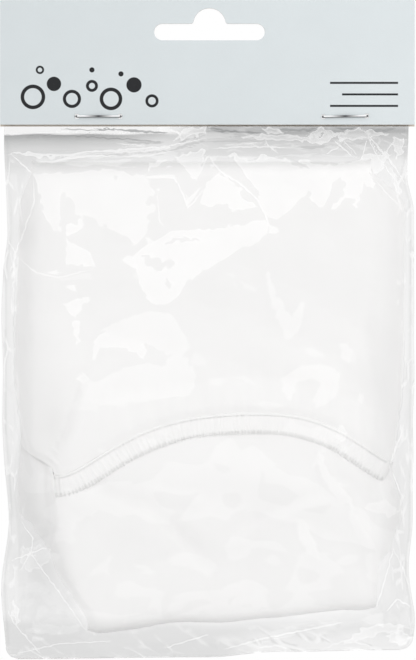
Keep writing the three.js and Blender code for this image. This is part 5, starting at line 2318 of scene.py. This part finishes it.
    @staticmethod
    def _stitch() -> tuple[Array, list[list[int]]]:
        """Makes one loop of thread, lying flat round the origin.

        Returns:
            Its points and its faces.
        """
        deselect_all()
        bpy.ops.mesh.primitive_torus_add(
            major_segments=10, minor_segments=4, major_radius=0.5, minor_radius=0.16,
            location=(0, 0, 0),
        )
        loop = bpy.context.object
        bpy.ops.object.mode_set(mode="EDIT")
        bpy.ops.mesh.select_all(action="SELECT")
        bpy.ops.transform.resize(value=(1, 1, 0.8))
        bpy.ops.object.mode_set(mode="OBJECT")
        points = np.array([vertex.co for vertex in loop.data.vertices])
        faces = [list(face.vertices) for face in loop.data.polygons]
        bpy.data.objects.remove(loop)
        deselect_all()
        return points, faces

    def build_stitches(self) -> bpy.types.Object:
        """Sews both rows: short loops along the strip's top and tall ones over its lower edge.

        Returns:
            The thread.
        """
        rings = self._rings()
        stitch, faces = self._stitch()
        along_seam = np.gradient(rings["middle"], axis=0)
        along_seam /= np.linalg.norm(along_seam, axis=1)[:, None]
        places = np.arange(0, rings["seam"][-1], self.stitch_pitch)
        near = np.searchsorted(rings["seam"], places)
        points, corners = [], []
        outer = self.room / 2 + self.wall
        for height, length, rise, proud in (
            (self.upper_stitch_height, 0.62 * MM, 0.26 * MM, -0.02 * MM),
            (self.lower_stitch_height, 0.42 * MM, 1.15 * MM, -0.03 * MM),
        ):
            wave = self._wave(rings, height) + self.lap_rise * rings["lap"]
            for ring in near:
                middle = (
                    rings["middle"][ring] + rings["up"][ring] * height
                    + rings["out"][ring] * (outer + proud + wave[ring])
                )
                axes = np.stack([
                    along_seam[ring] * length, rings["up"][ring] * rise,
                    rings["out"][ring] * 0.55 * MM,
                ])
                first = len(points) * len(stitch)
                points.append(middle + stitch @ axes)
                corners.extend([[first + corner for corner in face] for face in faces])
        seam = make_object("rim_stitches", np.concatenate(points), corners)
        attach(seam, Body.PACK.value)
        return seam


@dataclass
class Staple:
    """Wire staple through the card and the bag, in place of its solid."""

    node: str
    tilt: float
    wire: float = 0.66 * MM
    packed_wire: float = 0.5 * MM
    before_bend: float = 0.15 * MM
    past_leg: float = 0.2 * MM
    bend: float = 0.35 * MM
    bend_steps: int = 6
    clinch: float = 4.1 * MM
    cut_end: tuple = (1, 0.35, 0.8)

    def build(self) -> bpy.types.Object:
        """Draws half of the wire from the middle of its crown, mirrors it and puts it in place.

        Returns:
            The staple.
        """
        low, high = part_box(self.node)
        middle = (low + high) / 2
        depth = high.y - low.y - 2 * self.packed_wire + self.wire
        half = (high.x - low.x) / 2 - self.wire / 2 + self.past_leg
        deselect_all()
        bpy.ops.mesh.primitive_circle_add(
            vertices=12, radius=self.wire / 2, fill_type="NGON", location=(0, -depth / 2, 0),
            rotation=(0, math.pi / 2, 0),
        )
        staple = bpy.context.object
        staple.name = f"wire_{self.node}"
        bpy.ops.object.transform_apply(location=True, rotation=True, scale=True)
        bpy.ops.object.mode_set(mode="EDIT")
        bpy.ops.mesh.select_all(action="SELECT")
        straight = half - self.bend
        moves = (
            (straight - self.before_bend, 0, None),
            (self.before_bend, 0, (straight, -depth / 2 + self.bend)),
            (0, depth - 2 * self.bend, (straight, depth / 2 - self.bend)),
            (-self.clinch, 0, None),
        )
        for along_x, along_y, centre in moves:
            move = {"value": (along_x, along_y, 0)}
            bpy.ops.mesh.extrude_region_move(TRANSFORM_OT_translate=move)
            if centre is not None:
                bpy.ops.mesh.spin(
                    steps=self.bend_steps, angle=-math.pi / 2, center=(*centre, 0), axis=(0, 0, 1),
                )
        end = (straight - self.clinch, depth / 2, 0)
        bpy.ops.transform.resize(value=self.cut_end, center_override=end)
        bpy.ops.object.mode_set(mode="OBJECT")
        return self._finish(staple, middle)

    def _finish(self, staple: bpy.types.Object, middle: Sequence[float]) -> bpy.types.Object:
        """Mirrors, closes and smooths the wire, and moves it to its place in the mesh.

        Args:
            staple: half of the wire, starting on the plane where x is 0.
            middle: middle of the staple in the pack.

        Returns:
            The finished staple.
        """
        mirror = staple.modifiers.new("other_half", "MIRROR")
        mirror.use_axis[0] = True
        mirror.use_clip = True
        mirror.merge_threshold = 0.02 * MM
        bpy.ops.object.modifier_apply(modifier=mirror.name)
        bpy.ops.object.mode_set(mode="EDIT")
        bpy.ops.mesh.select_all(action="SELECT")
        bpy.ops.mesh.remove_doubles(threshold=0.002 * MM)
        bpy.ops.mesh.normals_make_consistent(inside=False)
        bpy.ops.object.mode_set(mode="OBJECT")
        staple.rotation_euler = (0, self.tilt, 0)
        staple.location = middle
        bpy.ops.object.transform_apply(location=True, rotation=True, scale=True)
        bpy.ops.object.shade_smooth()
        deselect_all()
        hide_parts(self.node)
        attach(staple, Body.PACK.value)
        return staple


@dataclass
class HeaderCard:
    """Folded header card with its hanging slot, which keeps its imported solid."""

    node: bpy.types.Object
    fold_radius: float = 0.7 * MM
    curved_share: float = 1.6

    def fold_height(self) -> float:
        """Height under which the card's panels are flat."""
        _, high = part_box(self.node.name)
        return high.z - self.curved_share * self.fold_radius


@dataclass(frozen=True)
class Softbox:
    """Lamp with a plain lit face, aimed at a point of the pack."""

    name: str
    azimuth: float
    elevation: float
    distance: float
    width: float
    height: float
    radiance: float
    in_gloss: bool = True


@dataclass
class Studio:
    """White surroundings behind the pack, a dimmer room before it, the floor and the lamps."""

    pack_middle: tuple = (0, 0, -0.093)
    floor_height: float = -0.262
    floor_radius: float = 1.1
    ambient: float = 0.83
    room: float = 0.26
    softboxes: tuple = (
        Softbox("overhead_softbox", 0, 29, 1.5, 0.86, 0.66, 1.9),
        Softbox("right_softbox", 58, 6, 1.6, 0.5, 1.1, 2.2, False),
        Softbox("left_softbox", -58, 6, 1.6, 0.5, 1.1, 1.4, False),
        Softbox("rear_softbox", 180, 35, 1.6, 1.0, 0.7, 2.4),
    )

    def build(self) -> None:
        """Sets the colours plain, and builds the surroundings, the floor and the lamps."""
        bpy.context.scene.view_settings.view_transform = "Standard"
        self._surroundings()
        self._floor()
        for softbox in self.softboxes:
            self._lamp(softbox)

    def _surroundings(self) -> None:
        """White to the camera; gloss sees white behind the pack and a dimmer room before it."""
        world = bpy.data.worlds.new("studio")
        bpy.context.scene.world = world
        world.use_nodes = True
        tree = world.node_tree
        tree.nodes.clear()
        wiring = Wiring(tree)
        way = wiring.node("TexCoord").outputs["Generated"]
        backwards = wiring.node("SeparateXYZ", Vector=way).outputs["Y"]
        gloss = wiring.ramp(backwards, -0.3, 0.3, self.room, 1.0)
        path = wiring.node("LightPath").outputs
        seen = wiring.sum("MAXIMUM", path["Is Camera Ray"], path["Is Transmission Ray"])
        darker = wiring.sum("SUBTRACT", gloss, self.ambient)
        level = wiring.sum("MULTIPLY", path["Is Glossy Ray"], darker)
        level = wiring.sum("ADD", level, self.ambient)
        level = wiring.sum("MAXIMUM", level, seen)
        background = wiring.node("Background", Color=(1, 1, 1, 1), Strength=level)
        output = tree.nodes.new("ShaderNodeOutputWorld")
        tree.links.new(background.outputs[0], output.inputs["Surface"])

    def _floor(self) -> None:
        """Plain pale floor, well below the hanging pack."""
        deselect_all()
        bpy.ops.mesh.primitive_circle_add(
            vertices=64, radius=self.floor_radius, fill_type="NGON",
            location=(0, 0, self.floor_height),
        )
        floor = bpy.context.object
        floor.name = "studio_floor"
        material = bpy.data.materials.new("studio_floor")
        material.use_nodes = True
        shader = material.node_tree.nodes["Principled BSDF"]
        shader.inputs["Base Color"].default_value = (0.82, 0.82, 0.82, 1)
        shader.inputs["Roughness"].default_value = 0.9
        dress(floor, material)
        deselect_all()

    def _lamp(self, softbox: Softbox) -> None:
        """Places one softbox on the sphere round the pack, facing it.

        Args:
            softbox: its place, size and strength.
        """
        azimuth, elevation = math.radians(softbox.azimuth), math.radians(softbox.elevation)
        level = math.cos(elevation)
        towards = np.array([
            math.sin(azimuth) * level, -math.cos(azimuth) * level, math.sin(elevation),
        ])
        light = bpy.data.lights.new(softbox.name, "AREA")
        light.shape = "RECTANGLE"
        light.size, light.size_y = softbox.width, softbox.height
        light.energy = softbox.radiance * math.pi * softbox.width * softbox.height
        lamp = bpy.data.objects.new(softbox.name, light)
        lamp.location = np.array(self.pack_middle) + softbox.distance * towards
        lamp.rotation_euler = (math.pi / 2 - elevation, 0, azimuth)
        lamp.visible_camera = False
        lamp.visible_glossy = softbox.in_gloss
        bpy.context.scene.collection.objects.link(lamp)

    def place_camera(self) -> None:
        """Puts the camera straight before the pack, at the picture's frame."""
        middle_x = PICTURE.x(PICTURE.width_px / 2)
        middle_z = PICTURE.z(PICTURE.height_px / 2)
        distance, sensor = 1.6, 36.0
        camera = bpy.data.cameras.new("picture_camera")
        camera.sensor_fit = "AUTO"
        camera.sensor_width = sensor
        camera.lens = sensor * distance / (PICTURE.height_px * PICTURE.pixel)
        obj = bpy.data.objects.new("picture_camera", camera)
        obj.location = (middle_x, -distance, middle_z)
        obj.rotation_euler = (math.pi / 2, 0, 0)
        bpy.context.scene.collection.objects.link(obj)
        bpy.context.scene.camera = obj


def main() -> None:
    """Builds the pack piece by piece and reports each one."""
    logging.basicConfig(level=logging.INFO, format="%(message)s")
    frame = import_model()
    nodes = frame["nodes"]
    studio = Studio()
    studio.place_camera()
    studio.build()
    effects = SharedEffects()

    card = HeaderCard(nodes["header_card"])
    dress(card.node, BoardFinish().build(effects, card.fold_height()))
    wire = WireFinish().build(effects)
    for node, tilt in (("staple_left", 0.0), ("staple_right", math.radians(-0.9))):
        dress(Staple(node, tilt).build(), wire)
        LOG.info("staple %s is in place", node)

    form = PackForm.from_frame()
    film = FilmBag(form).build()
    dress(film, FilmFinish().build(effects))
    LOG.info("film bag: %d faces", len(film.data.polygons))

    rim = RimLine.from_frame(nodes["rim_elastic"])
    dress(nodes["rim_elastic"], KnitFinish().build(effects))
    cap_low, cap_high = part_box("cap_crown")
    crown = CapCrown(form, rim, cap_high.z + 0.3 * MM, cap_low.z)
    sheet = crown.build()
    dress(sheet, SheetFinish("cap_sheet").build(effects))
    hem = RimCasing(rim)
    casing = hem.build()
    ribbed = SheetFinish("rim_strip", rib_pitch=0.95 * MM, rib_relief=0.010 * MM)
    dress(casing, ribbed.build(effects))
    stitches = hem.build_stitches()
    dress(stitches, ThreadFinish().build(effects))
    LOG.info("cap: %d faces, casing: %d faces", len(sheet.data.polygons), len(casing.data.polygons))


if __name__ == "__main__":
    main()
